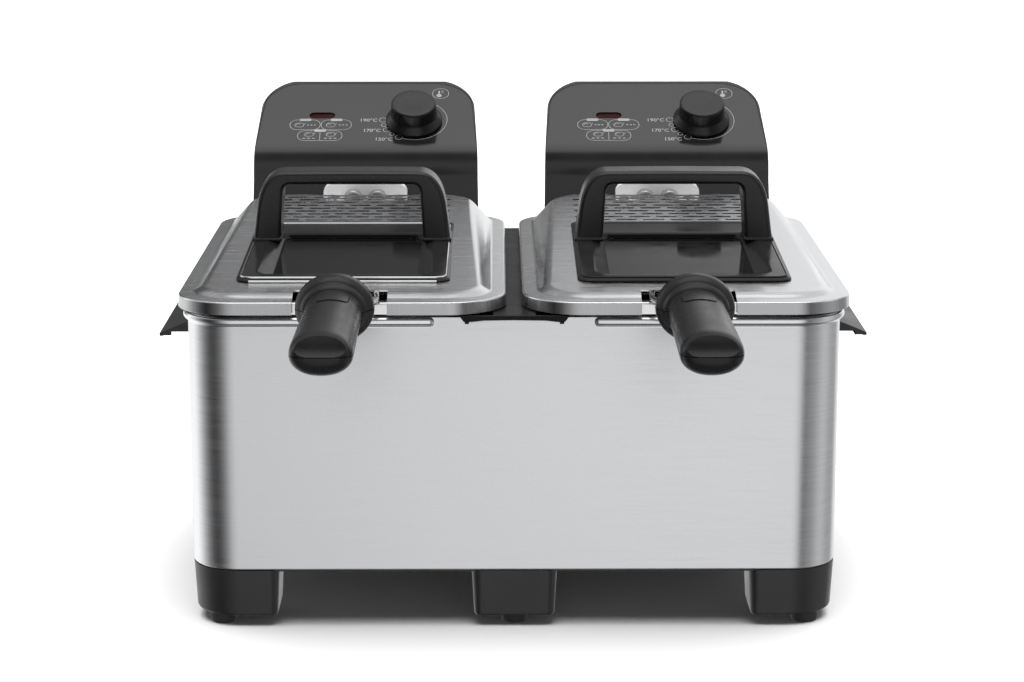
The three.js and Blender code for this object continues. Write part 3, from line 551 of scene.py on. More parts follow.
def leg_rings(side):
    """The stations of a front leg, from its sole up: -1 is the left leg, 0 the centre and 1 the right."""
    corner, small = CASE_RADIUS, 7
    if side == 0:
        left, right, radii = -CENTRE_LEG_HALF, CENTRE_LEG_HALF, (small, small, small, small)
    elif side > 0:
        left, right, radii = CASE_HALF - CORNER_LEG_WIDTH, CASE_HALF, (corner, small, small, small)
    else:
        left, right, radii = -CASE_HALF, CORNER_LEG_WIDTH - CASE_HALF, (small, small, small, corner)

    def station(inward, z):
        fitted = tuple(radius - inward for radius in radii)
        return ring(left + inward, right - inward, inward, LEG_DEPTH - inward, fitted, z)

    return [
        (station(4.5, LEG_BOTTOM), 0),
        (station(1.8, LEG_BOTTOM), 2.2),
        (station(0.1, LEG_TOP), 0.6),
        (station(3, LEG_TOP), 0),
    ]


def make_base():
    """The black base: a plate under the casing and six legs."""
    plate_rings = [case_ring(SHEET + 0.4, z) for z in (CASE_BOTTOM - 1.4, base_high.z)]
    put_on_housing("base_plate", source(skin(plate_rings), BASE_PLASTIC), ["base_tray"])
    half_turn = Matrix.Translation((0, CASE_DEPTH, 0)) @ Matrix.Rotation(math.pi, 4, "Z")
    words = ("left", "centre", "right")
    for row, place, names in (("front", Matrix.Identity(4), words), ("rear", half_turn, words[::-1])):
        for side, word in zip((-1, 0, 1), names):
            leg = source(moved(skin(soften(leg_rings(side))), place), BASE_PLASTIC)
            put_on_housing(f"leg_{row}_{word}", leg, weighted=True)


def make_feet():
    """Rubber feet with a rounded tread edge and a shallow dish under each."""
    for row in ("front", "rear"):
        for place in ("left", "centre", "right"):
            node = f"foot_{row}_{place}"
            low, high = extent(node)
            radius = (high.x - low.x) / 2
            edge = [(radius - 3, 0.8), (radius - 2.4, 0), (radius - 0.6, 0), (radius, 3)]
            profile = bend([(1, 0.8), *edge, (radius, high.z)], [0, 0.4, 0.4, 0.8, 1], 4)
            centre = Matrix.Translation(((low.x + high.x) / 2, (low.y + high.y) / 2, 0))
            foot = source(moved(turned(profile, 32), centre), RUBBER)
            put_on_housing(f"rubber_{node}", foot, [node])


def make_carry_handles():
    """Hoods on the casing's sides, with two ribs across each finger recess."""
    low, high = extent("carry_handle_right")
    wall = 3.2
    near, tip, bottom, top = low.x, high.x, low.z, high.z

    def side_view(inset):
        edge = Vector((tip - 0.6 * inset, bottom + 2 - inset))
        hollow = Vector((near + 0.45 * (tip - near), top - 4.5 - inset))
        sweep = curve(edge, hollow, Vector((near + inset, top - inset)), 10)
        return [(near + inset, bottom - inset), (tip - 0.6 * inset, bottom - inset), *sweep]

    hood = source(prism(side_view(0), low.y, high.y, "y"), BASE_PLASTIC)
    combine(hood, prism(side_view(wall), low.y + wall, high.y - wall, "y"))
    for rib in (0.33, 0.66):
        y = low.y + rib * (high.y - low.y)
        combine(hood, prism(side_view(0.4), y - 1, y + 1, "y"), "UNION")
    for face, into in ((low.y, 1), (high.y, -1)):
        # Each end has a shallow panel, an open notch at its foot and a rib beside the casing.
        panel, notch, rib = (
            sorted((face + start * into, face + end * into)) for start, end in ((-1, 1.8), (-1, 6), (0.5, 3))
        )
        combine(hood, prism(side_view(2.4), *panel, "y"))
        combine(hood, box_shape(near + 7, tip - 8, *notch, bottom - 1, bottom + 2.6))
        combine(hood, box_shape(near + 3.4, near + 5, *rib, bottom + 0.3, top - 3.5), "UNION")
    bevelled(hood, 0.7, 2)
    put("carry_hood_right", hood, "housing", 0.0, ["carry_handle_right"], weighted=True)
    hood.data.transform(Matrix.Translation((0, low.y + high.y, 0)) @ Matrix.Rotation(math.pi, 4, "Z"))
    put_on_housing("carry_hood_left", hood, ["carry_handle_left"], weighted=True)


def make_bridge():
    """The strip between the fryers, with a lip over the front and a tab at each end of it."""
    low, high = extent("centre_bridge")
    top = high.z
    lip_bottom = CASE_TOP - 2.8
    front_outline = [(-33, lip_bottom), (-28, lip_bottom), (-20, lip_bottom + 0.9), (0, lip_bottom + 1.2)]
    front_outline += [(20, lip_bottom + 0.9), (28, lip_bottom), (33, lip_bottom), (36, top), (-36, top)]
    lip = source(prism(front_outline, low.y, -0.3, "y"), BRIDGE_PLASTIC)
    bevelled(lip, 0.5, 2)
    put_on_housing("bridge_lip", lip, ["centre_bridge"], weighted=True)
    strip = source(box_shape(-14, 14, -0.3, high.y, CASE_TOP + 0.3, top), BRIDGE_PLASTIC)
    combine(strip, box_shape(-8, 8, 8, high.y - 14, low.z, top - 0.2), "UNION")
    bevelled(strip, 0.3, 2)
    put_on_housing("bridge_strip", strip, weighted=True)
    for side, x in (("left", -31), ("right", 31)):
        shape = box_shape(x - 1.4, x + 1.4, low.y + 0.2, -0.4, lip_bottom - 1.3, lip_bottom + 0.6)
        tab = bevelled(source(shape, BRIDGE_PLASTIC), 0.3, 2)
        put_on_housing(f"bridge_tab_{side}", tab)


# --- Bowl, basket and element ---

RIM_HALF = (bowl_high.x - bowl_low.x) / 2
RIM_REAR = bowl_high.y
BOWL_RIM = bowl_high.z
BOWL_HALF = RIM_HALF - 8
BOWL_FRONT = 12
BOWL_REAR = RIM_REAR - 12
BOWL_FLOOR = bowl_low.z + 1.5
RIM_BOTTOM = CASE_TOP + 1.6


def make_bowl():
    """The drawn bowl: a round-edged floor, and a rim that turns out and down."""
    sheet = 0.9

    def wall(outward, z):
        front, rear = BOWL_FRONT - outward, BOWL_REAR + outward
        return even_ring(BOWL_HALF + outward, front, rear, 32 + outward, z, steps=12)

    def rim(inward, z):
        return even_ring(RIM_HALF - inward, inward, RIM_REAR - inward, 38 - inward, z, steps=12)

    stations = [
        (wall(-12, BOWL_FLOOR - sheet), 0),
        (wall(sheet - 0.5, BOWL_FLOOR - sheet), 14),
        (wall(sheet, BOWL_RIM - sheet), 2),
        (rim(sheet, BOWL_RIM - sheet), 0.8),
        (rim(sheet, RIM_BOTTOM), 0.2),
        (rim(0, RIM_BOTTOM), 0.2),
        (rim(0, BOWL_RIM), 1.6),
        (wall(0, BOWL_RIM), 2.6),
        (wall(-0.5, BOWL_FLOOR), 14),
        (wall(-13, BOWL_FLOOR), 0),
    ]
    bowl = source(skin(soften(stations)), BOWL_STEEL)
    put_pair("fryer_bowl", bowl, "bowl", ["bowl"], weighted=True)


def make_basket():
    """The wire basket: a heavy rim wire, a second one below it, and a net of thin wires."""
    low, high = extent("left_basket")
    half = (high.x - low.x) / 2 - 2
    front, rear, floor, rim = low.y + 2, high.y - 2, low.z, high.z
    rim_wire, net_wire = 1.9, 0.85

    def loop(inward, z):
        return even_ring(half - inward, front + inward, rear - inward, 25 - 0.6 * inward, z, steps=6)

    shapes = [
        tube(loop(0, rim - rim_wire), rim_wire, 10, closed=True),
        tube(loop(1.2, rim - 34), 1.2, 8, closed=True),
        tube(loop(8, floor + 1.2), 1.2, 8, closed=True),
    ]
    levels, pitch = 12, 8.5
    for share in (level / levels for level in range(1, levels)):
        wire = loop(1 + 5 * share, rim - 4 - share * (rim - floor - 8))
        shapes.append(tube(wire, net_wire, 5, closed=True))

    def net(span, start, end, place):
        """Wires down one wall, across the floor and up the other, set beside each other over the span."""
        drop = [(start + 1.6, rim - 3), (start + 6.4, floor + 1)]
        drop += [(end - 6.4, floor + 1), (end - 1.6, rim - 3)]
        count = int((span - 20) / pitch)
        for i in range(-count, count + 1):
            corners = [place(along, i * pitch, z) for along, z in drop]
            shapes.append(tube(bend(corners, 6, 3), net_wire, 5))

    net(half, front, rear, lambda along, across, z: (across, along, z))
    net((rear - front) / 2, -half, half, lambda along, across, z: (along, (front + rear) / 2 + across, z))
    basket = source(joined(shapes), CHROME)
    put_pair("wire_basket", basket, "basket", ["basket"])


def make_rods():
    """The wires from the grip over the bowl's rim to the basket's front."""
    low, high = extent("left_basket_rods")
    over = BOWL_RIM + 3.5
    down = high.y - 2.3
    grip_y, grip_z = low.y, extent("left_grip_upper")[0].z
    side = [(17, grip_y + 1, grip_z), (24.5, -4, over), (23, down, over), (23, down, low.z + 3)]
    corners = side + [(-x, y, z) for x, y, z in reversed(side)]
    rods = source(tube(bend(corners, 4, 6), 2.1, 12), CHROME)
    put_pair("handle_rods", rods, "basket", ["basket_rods"], smooth=60)


def make_element():
    """The heating element's tube and the thermostat's bulb beside it."""
    low, high = extent("left_heating_element")
    centre = fryer_x("left")
    reach = (high.x - low.x) / 2 - 4
    tube_z, loop_z = high.z - 4, low.z + 4
    drop_y, front = 318, low.y + 4
    half = [
        (9.5, high.y, tube_z), (9.5, drop_y, tube_z), (9.5, drop_y, loop_z), (9.5, drop_y - 24, loop_z),
        (reach, drop_y - 24, loop_z), (reach, front, loop_z),
    ]
    corners = half + [(-x, y, z) for x, y, z in reversed(half)]
    element = source(tube(bend(corners, 10, 8), 3.8, 16), ELEMENT_METAL)
    put_pair("element_tube", element, "heater_unit", ["heating_element"], smooth=60)
    low, high = extent("left_thermostat_bulb")
    x = (low.x + high.x) / 2 - centre
    line = bend([(x, high.y, high.z - 2.5), (x, drop_y, high.z - 2.5), (x, drop_y, low.z)], 9, 8)
    bulb_line = [Vector((x, drop_y, low.z + 70)), Vector((x, drop_y, low.z))]
    bulb = source(joined([tube(line, 1.3, 10), tube(bulb_line, 2.9, 14)]), CHROME)
    put_pair("bulb_tube", bulb, "heater_unit", ["thermostat_bulb"])


# --- Lid ---

LID_HALF = (lid_high.x - lid_low.x) / 2
LID_FRONT, LID_REAR = lid_low.y, lid_high.y
LID_BOTTOM = lid_low.z
FLANGE_Z = LID_BOTTOM + 9.4
FLANGE_EDGE = FLANGE_Z - 1.2
WEDGE_HALF, WEDGE_FRONT, WEDGE_REAR = LID_HALF - 10.5, LID_FRONT + 9, LID_REAR - 10
PLATEAU_HALF, PLATEAU_REAR_HALF = 91.7, 83
PLATEAU_FRONT, PLATEAU_REAR = 10, 322
PLATEAU_Z = 226
PLATEAU_TOP = lid_high.z
WINDOW_HALF, WINDOW_FRONT, WINDOW_REAR, WINDOW_RADIUS = 61.5, 48.5, 186.5, 9
LID_SLOPE = math.atan2(PLATEAU_TOP - PLATEAU_Z, PLATEAU_REAR - PLATEAU_FRONT)
ON_PLATEAU = (
    Matrix.Translation((0, PLATEAU_FRONT, PLATEAU_Z))
    @ Matrix.Rotation(LID_SLOPE, 4, "X")
    @ Matrix.Translation((0, -PLATEAU_FRONT, 0))
)


def plateau_z(y):
    return PLATEAU_Z + math.tan(LID_SLOPE) * (y - PLATEAU_FRONT)


def steam_slots():
    """Rows of slots across the plateau, each row set off by half a pitch from the next."""
    rows, pitch, row_pitch, first_row = 9, 20, 10, 231
    slot = prism(stadium(7.9, 2.1), -8, 8)
    shapes = []
    for row in range(rows):
        count = 7 if row % 2 else 6
        for i in range(count):
            spot = Matrix.Translation(((i - (count - 1) / 2) * pitch, first_row + row * row_pitch, 0))
            shapes.append(moved(slot, ON_PLATEAU @ spot))
    return joined(shapes)


def make_lid():
    """The lid's steel shell, pressed from one sheet."""
    sheet = 1.1

    def skirt(inward, z):
        return even_ring(LID_HALF - inward, LID_FRONT + inward, LID_REAR - inward, 40 - inward, z, steps=14)

    def wedge(inward, z):
        return even_ring(WEDGE_HALF - inward, WEDGE_FRONT + inward, WEDGE_REAR - inward, 31, z, steps=14)

    def plateau(inward, drop=0.0):
        front, rear = PLATEAU_FRONT + inward, PLATEAU_REAR - inward
        narrowing = PLATEAU_HALF - PLATEAU_REAR_HALF

        def height(y):
            return plateau_z(y) - drop

        return even_ring(PLATEAU_HALF - inward, front, rear, 24, height, narrowing, 14)

    stations = [
        (plateau(8 + sheet, sheet), 0),
        (plateau(sheet, sheet), 4),
        (wedge(sheet, FLANGE_Z - sheet), 3),
        (skirt(sheet + 1, FLANGE_EDGE - sheet), 1.6),
        (skirt(sheet, LID_BOTTOM), 0.3),
        (skirt(0, LID_BOTTOM), 0.5),
        (skirt(0.5, FLANGE_Z - 1), 1.4),
        (wedge(0, FLANGE_Z), 1.2),
        (plateau(0), 4),
        (plateau(8), 0),
    ]
    lid = source(skin(soften(stations, 6)), LID_STEEL)
    window_ring = (WINDOW_HALF, WINDOW_FRONT, WINDOW_REAR, WINDOW_RADIUS)
    window = moved(skin([even_ring(*window_ring, height) for height in (-15, 15)]), ON_PLATEAU)
    rod_notch = box_shape(-31, 31, LID_FRONT - 5, 18, LID_BOTTOM - 5, 290)
    control_notch = box_shape(-40, 40, 318, LID_REAR + 5, LID_BOTTOM - 5, 290)
    # The slotted field is cut thinner from below.
    thinning = moved(box_shape(-76, 76, 224, 317, -7, -0.3), ON_PLATEAU)
    for cut in (window, rod_notch, control_notch, thinning, steam_slots()):
        combine(lid, cut)
    # The skirt's upright faces take the darker steel: painted shade.
    lid.data.materials.append(SHADED_SKIRT_STEEL)
    for face in lid.data.polygons:
        if face.center.z < FLANGE_EDGE - 0.9 and abs(face.normal.z) < 0.5:
            face.material_index = 1
    put_pair("steel_lid", lid, "lid", ["lid_shell"], smooth=30, weighted=True)


FRAME_LOW, FRAME_HIGH = extent("left_window_frame")
FRAME_HALF = (FRAME_HIGH.x - FRAME_LOW.x) / 2
FRAME_FRONT, FRAME_REAR = 38, 220
ARCH_TOP = FRAME_HIGH.z
ARCH_FRONT, ARCH_REAR = 155, 184


def make_window_frame():
    """The glossy border round the window, with hollow walls that slope down to the glass."""
    rear_drop = 2.3

    def border(half, front, rear, radius, z, drop=0.0):
        """A ring round the window, drop lower behind it than in front."""
        start = 165.0

        def height(y):
            return z - drop * min(max((y - start) / (rear - start), 0.0), 1.0)

        return even_ring(half, front, rear, radius, height, steps=10)

    stations = [
        (border(FRAME_HALF, FRAME_FRONT, FRAME_REAR, 9, 0.25), 0.2),
        (border(FRAME_HALF, FRAME_FRONT, FRAME_REAR, 9, 1.1), 0.3),
        (border(FRAME_HALF - 3.2, FRAME_FRONT + 3.2, FRAME_REAR - 5, 8, 3.0, rear_drop), 1.4),
        (border(59, 51.5, 186, 9, 3.0, rear_drop), 1.8),
        (border(54, 54.5, 182.5, 9, 0.0), 2.4),
        (border(49, 57.5, 181.5, 8, -2.5), 0.4),
        (border(49, 57.5, 181.5, 8, -2.8), 0),
        (border(WINDOW_HALF - 1, WINDOW_FRONT + 1, WINDOW_REAR - 1, WINDOW_RADIUS, -2.8), 0.3),
        (border(WINDOW_HALF - 1, WINDOW_FRONT + 1, WINDOW_REAR - 1, WINDOW_RADIUS, 0.25), 0.2),
    ]
    border_skin = skin(soften(stations, closed=True), closed=True)
    frame_piece = source(moved(border_skin, ON_PLATEAU), FRAME_PLASTIC)
    put_pair("window_border", frame_piece, "lid", ["window_frame"], smooth=50)
    # Only the left lid's trim is chrome, for bright lines along its frame edge: a painted highlight. The
    # right lid's trim is the frame's black plastic.
    for side, material in (("left", CHROME), ("right", FRAME_PLASTIC)):
        edge = border(FRAME_HALF - 3, FRAME_FRONT + 3, FRAME_REAR - 4, 8, 2.75, rear_drop)
        upper = tube(edge, 0.75, 10, closed=True)
        ends = FRAME_HALF - 9
        lower_path = [Vector((x, FRAME_FRONT - 0.3, 0.95)) for x in (-ends, -ends / 2, 0, ends / 2, ends)]
        trim = source(moved(joined([upper, tube(lower_path, 0.7, 10)]), ON_PLATEAU), material)
        put(f"{side}_window_trim", trim, f"{side}_lid", fryer_x(side), smooth=60)
        bpy.data.objects.remove(trim)


def arch_outlines():
    """Matching points up the outside and the inside of half the arch, from its foot to its middle."""
    base = plateau_z(ARCH_FRONT) + 1.2
    top, under = ARCH_TOP, ARCH_TOP - 9
    waist = Vector((67.2, 256))
    inner_half, corner = 50.5, 8
    lean = Vector((inner_half - 2, under - corner))
    starts = (Vector((70, base)), Vector((inner_half, base)))
    shoulders = (
        (waist, Vector((waist.x - 2.7, top - 1)), Vector((48, top))),
        (lean, Vector((inner_half - 2, under)), Vector((43, under))),
    )
    ends = (Vector((0, top + 0.4)), Vector((0, under)))
    lines = []
    for start, shoulder, end in zip(starts, shoulders, ends):
        turn = shoulder[0]
        line = [start.lerp(turn, t) for t in (0, 0.12, 0.35, 0.7)]
        line += curve(*shoulder, 16)
        line += [shoulder[-1].lerp(end, t) for t in (0.35, 0.7)]
        lines.append([(point.x, point.y) for point in line])
    return lines


def make_arch():
    """The arch handle: a bar with a flat front, a broad bevel round its outside and a soft inner edge."""
    outer, inner = [line + [(-x, z) for x, z in reversed(line)] for line in arch_outlines()]
    middle_y, half_y = (ARCH_FRONT + ARCH_REAR) / 2, (ARCH_REAR - ARCH_FRONT) / 2
    corners = ((1, 1, 0, 3), (-1, 1, 90, 2.5), (-1, -1, 180, 2.6), (1, -1, 270, 4.2))
    rings = []
    for (ox, oz), (ix, iz) in zip(outer, inner):
        out, into = Vector((ox, 0, oz)), Vector((ix, 0, iz))
        half_x = (out - into).length / 2
        across = (out - into).normalized()
        middle = (out + into) / 2
        section = []
        for cx, cy, start, radius in corners:
            fitted = min(radius, half_x * 0.9)
            for a, b in arc(cx * (half_x - fitted), cy * (half_y - fitted), fitted, start, start + 90, 5):
                section.append(middle + across * a + Vector((0, middle_y + b, 0)))
        rings.append(section)
    arch = source(skin(rings), ARCH_PLASTIC)
    # A pad spreads each foot on the frame.
    for side in (-1, 1):
        edges = sorted((side * 49.6, side * 70.6))
        sole = plateau_z(ARCH_FRONT) + 0.5
        foot = box_shape(*edges, ARCH_FRONT - 0.5, ARCH_REAR + 0.6, sole, sole + 3.4)
        merge(arch, bevelled(source(foot, ARCH_PLASTIC), 1.6, 4))
    put_pair("arch_handle", arch, "lid", smooth=50, weighted=True)


def make_glass_and_filter():
    """The dark pane, and the filter cassette with its frame and knitted mesh."""
    pane_rings = [
        even_ring(56 - inward, 54 + inward, 181 - inward, 7, z, steps=6)
        for inward, z in ((0.5, -6), (0, -5.6), (0, -3.3), (0.5, -2.9))
    ]
    pane = source(moved(skin(pane_rings), ON_PLATEAU), GLASS)
    put_pair("glass_pane", pane, "lid", ["window_glass"], smooth=20)

    def cassette_ring(inward, z):
        return even_ring(72 - inward, 228 + inward, 308 - inward, 6, z, steps=5)

    stations = [
        (cassette_ring(0, -7.2), 0.5), (cassette_ring(0, -1.8), 0.5), (cassette_ring(4, -1.8), 0.5),
        (cassette_ring(4, -3.2), 0), (cassette_ring(4.2, -7.2), 0.4),
    ]
    cassette = source(moved(skin(soften(stations, 3, closed=True), closed=True), ON_PLATEAU), PLATE_STEEL)
    put_pair("filter_frame", cassette, "lid", ["lid_filter"])
    # The near-black mesh under the slots is painted shade, so the slots read dark.
    mesh = source(moved(skin([cassette_ring(4.4, z) for z in (-6.8, -3.4)]), ON_PLATEAU), FILTER_MESH_PAINTED_SHADE)
    put_pair("filter_mesh", mesh, "lid")


# --- Control unit ---

control_low, control_high = extent("left_control_housing")
CONTROL_HALF = (control_high.x - control_low.x) / 2
CONTROL_FOOT = control_low.y
CONTROL_BOTTOM = control_low.z
CONTROL_REAR = extent("left_control_rear_cover")[1].y
COVER_FRONT = extent("left_control_rear_cover")[0].y
CONTROL_FRONT = CONTROL_FOOT + 12
CONTROL_TAPER = 3.5
# The panel slopes up from where it would meet the upright front, at APEX_Z, but its own front edge is
# PANEL_START along the slope. From there a bend turns down, which ends BEND_DROP below its corner,
# and the front comes forward by FRONT_LEAN until it is upright at LEAN_FOOT.
APEX_Z = 262
PANEL_ANGLE = math.radians(30)
PANEL_START = 22.7
PANEL_END = 101.4
PANEL_HALF = 86.4
FRONT_LEAN = 8
BEND_DROP = 18
LEAN_FOOT = 222
ON_PANEL = Matrix.Translation((0, CONTROL_FRONT, APEX_Z)) @ Matrix.Rotation(PANEL_ANGLE, 4, "X")


def control_plan(z):
    radii = (6, 34, 34, 6)
    return ring(-CONTROL_HALF, CONTROL_HALF, CONTROL_FOOT, CONTROL_REAR, radii, z, CONTROL_TAPER, 14)


def control_form():
    """The control unit's outer form: a plan with round corners, crossed with its side view."""
    slope = math.tan(PANEL_ANGLE)
    panel_rear = CONTROL_REAR - 1.8
    top = APEX_Z + slope * (panel_rear - CONTROL_FRONT)
    rear_edge = ((CONTROL_REAR, top - 3), (CONTROL_REAR, top + 0.4), (panel_rear, top))
    start = PANEL_START * math.cos(PANEL_ANGLE)
    bend_start = (CONTROL_FRONT + start, APEX_Z + slope * start)
    bend_y, bend_z = CONTROL_FRONT + FRONT_LEAN, APEX_Z + slope * FRONT_LEAN
    front_bend = (bend_start, (bend_y, bend_z), (bend_y, bend_z - BEND_DROP))
    side = [(CONTROL_FOOT, CONTROL_BOTTOM), (CONTROL_REAR, CONTROL_BOTTOM)]
    for corners in (rear_edge, front_bend):
        side += [tuple(point) for point in curve(*map(Vector, corners), 12)]
    side += [(CONTROL_FRONT, LEAN_FOOT), (CONTROL_FRONT, 208), (CONTROL_FOOT, 205)]
    form = source(skin([control_plan(CONTROL_BOTTOM - 10), control_plan(340)]), BLACK_PLASTIC)
    return combine(form, prism(side, -120, 120, "x"), "INTERSECT")


def fascia_ring(grow, z):
    """The panel's outline. Its front edge stays on the line where the bend starts."""
    half, radii = PANEL_HALF + grow, (0.3, 31, 31, 0.3)
    return ring(-half, half, PANEL_START, PANEL_END + grow, radii, z, CONTROL_TAPER, 12)


def make_control_housing():
    form = control_form()
    bevelled(form, 0.8, 3, 30)
    rear = twin(form)
    combine(form, moved(skin([fascia_ring(0.35, z) for z in (-1.9, 20)]), ON_PANEL))
    combine(form, box_shape(-200, 200, COVER_FRONT - 0.25, 500, 0, 400))
    put_pair("control_case", form, "heater_unit", ["control_housing"], 35, True)
    combine(rear, box_shape(-200, 200, 0, COVER_FRONT, 0, 400))
    for z in range(165, 219, 9):
        vent = [(a, b + z) for a, b in stadium(26, 1.6)]
        combine(rear, prism(vent, CONTROL_REAR - 1.4, CONTROL_REAR + 5, "y"))
    put_pair("control_back", rear, "heater_unit", ["control_rear_cover"], 35, True)


LAMP_X, LAMP_S = -36.2, 59.2
KNOB_X, KNOB_S = 37, 51.5


def make_fascia():
    """The panel, flush with the bend in front of it, and the lamp in its opening."""
    stations = [(fascia_ring(0, -1.6), 0), (fascia_ring(0, 0), 0.25), (fascia_ring(-2, 0), 0)]
    panel = source(moved(skin(soften(stations, 3)), ON_PANEL), PANEL_PLASTIC)
    lamp_spot = Matrix.Translation((LAMP_X, LAMP_S, 0))
    combine(panel, moved(prism(stadium(10.3, 3.9), -5, 5), ON_PANEL @ lamp_spot))
    knob_spot = Matrix.Translation((KNOB_X, KNOB_S, 0))
    combine(panel, moved(turned([(3.5, -5), (3.5, 5)], 24), ON_PANEL @ knob_spot))
    put_pair("panel", panel, "heater_unit", ["control_fascia"], 35, True)
    lens_rings = [
        [Vector((a * s, b * s, h)) for a, b in stadium(10, 3.5)]
        for s, h in ((1, -3), (1, -1.1), (0.97, -0.8), (0.9, -0.6))
    ]
    lens = source(moved(skin(lens_rings), ON_PANEL @ lamp_spot), LAMP)
    put_pair("lamp", lens, "heater_unit", ["lamp_lens"], 50)


INK = 0.05


def stroke(points, width, closed=False):
    """A printed line: a flat strip along points on the panel."""
    count = len(points)
    points = [Vector(point) for point in points]
    left, right = [], []
    for i, point in enumerate(points):
        before = points[i - 1] if closed or i else point
        after = points[(i + 1) % count] if closed or i < count - 1 else point
        along = (after - before).normalized()
        across = Vector((-along.y, along.x)) * width / 2
        left.append(point + across)
        right.append(point - across)
    vertices = [Vector((p.x, p.y, z)) for z in (0, INK) for p in left + right]
    faces = []
    for i in range(count if closed else count - 1):
        j = (i + 1) % count
        a, b, c, d = i, j, count + j, count + i
        up = 2 * count
        faces += [(a, b, c, d), (d + up, c + up, b + up, a + up)]
        faces += [(a + up, b + up, b, a), (d, c, c + up, d + up)]
    return vertices, faces


def outline_of(width, height, radius, x, y):
    """A rounded rectangle's outline round a point."""
    return [(x + p.x, y + p.y) for p in even_ring(width / 2, -height / 2, height / 2, radius, 0, steps=6)]


def filled(outline):
    return skin([[Vector((x, y, z)) for x, y in outline] for z in (0, INK)])


def lettering(text, size, x, y):
    """Printed figures that end at x, with their middle at y."""
    curve = bpy.data.curves.new("figures", "FONT")
    curve.body = text
    curve.size = size
    curve.space_character = 1.02
    curve.align_x = "RIGHT"
    curve.align_y = "CENTER"
    curve.extrude = INK / 2
    curve.offset = size * 0.008
    letters = added("figures", curve)
    mesh = bpy.data.meshes.new_from_object(letters)
    vertices = [vertex.co + Vector((x, y, INK / 2)) for vertex in mesh.vertices]
    faces = [tuple(face.vertices) for face in mesh.polygons]
    bpy.data.objects.remove(letters)
    return vertices, faces


def food_marks():
    """The three outlined fields under the lamp, with plain marks for kinds of food in them."""
    thin = 0.4
    shapes = []
    for x, y, width, label in ((-49.3, 46.9, 24, 53.3), (-24.6, 46.9, 24, 53.3), (-37, 33, 35, 39.4)):
        shapes.append(stroke(outline_of(width, 12.8, 6, x, y), thin, closed=True))
        shapes.append(filled(outline_of(9.6, 3.0, 1.4, x, label)))
    for x, y in ((-53.8, 46.7), (-29, 46.7), (-45.5, 34.6), (-28.5, 34.6)):
        shapes.append(stroke(outline_of(7, 5, 2.4, x, y), thin, closed=True))
        shapes.append(stroke(arc(x - 1, y + 0.3, 1.4, 20, 200, 6), thin))
        shapes.append(stroke([(x + 3.4, y + 0.4), (x + 4.8, y + 2)], thin))
    for x, y, half in ((-44.2, 46.7, 3.6), (-19, 46.7, 3.6), (-45.5, 29.6, 5), (-28.5, 29.6, 5)):
        shapes += [stroke([(x + a * half, y), (x + (a + 0.45) * half, y)], 0.8) for a in (-1, -0.25, 0.5)]
    shapes.append(stroke([(-37, 27.4), (-37, 37.2)], thin))
    return shapes


def dial_marks():
    """The scale round the knob: an arc, five marks and three temperatures."""
    thin = 0.42
    radius, centre_x, centre_s = 25.5, KNOB_X + 0.7, KNOB_S + 1.6
    arc_points = arc(centre_x, centre_s, radius, 50, -112, 48)
    shapes = [stroke(arc_points, thin)]
    for angle, size in ((180, 2.8), (195, 1.9), (210, 2.8), (225, 1.9), (241, 2.8)):
        x = centre_x + radius * math.cos(math.radians(angle))
        y = centre_s + radius * math.sin(math.radians(angle))
        circle = arc(x, y, size, 0, 360, 24)[:-1]
        shapes.append(stroke(circle, thin, closed=True))
    for text, x, y in (("190\u00b0C", 7.9, 52.7), ("170\u00b0C", 10.9, 39.4), ("150\u00b0C", 20.6, 28.2)):
        shapes.append(lettering(text, 5.4, x, y))
    return shapes


def thermometer_mark():
    """The outlined thermometer at the panel's rear right corner."""
    thin = 0.42
    x, y = 57.5, 87.9
    shapes = [stroke(outline_of(12.9, 12.9, 5.8, x, y), thin, closed=True)]
    shapes.append(filled(arc(x - 1.2, y - 2.6, 2.1, 0, 360, 20)[:-1]))
    shapes.append(stroke([(x - 1.2, y - 1), (x - 1.2, y + 3.6)], 1.3))
    shapes += [stroke([(x + 0.6, y + rise), (x + 2.4, y + rise)], thin) for rise in (1.2, 2.4, 3.6)]
    return shapes


def make_prints():
    """The pale printing on the panel. Its places are X and the distance up the panel's slope."""
    printed = joined(food_marks() + dial_marks() + thermometer_mark())
    prints = source(moved(printed, ON_PANEL @ Matrix.Translation((0, 0, 0.02))), PRINT_INK)
    put_pair("panel_prints", prints, "heater_unit", smooth=20)


def make_knob():
    """The temperature knob: a skirt, a tall cap and a pointer groove."""
    skirt = [(3, -14), (3, 0.7), (21.4, 0.7), (22.6, 1.8), (21.8, 3.2), (18.9, 6.4)]
    cap = [(18.1, 7.4), (17.6, 18.4), (12, 18.4), (1, 18.2)]
    profile = bend(skirt + cap, [0, 0.1, 0.6, 0.8, 1.2, 0.8, 0.6, 1.8, 0.5], 5)
    knob = source(turned(profile, 72), KNOB_PLASTIC)
    combine(knob, box_shape(-0.7, 0.7, 12.5, 20, 17.0, 22))
    knob.data.transform(ON_PANEL @ Matrix.Translation((KNOB_X, KNOB_S, 0)))
    put_pair("dial", knob, "knob", ["knob"], 40, True)


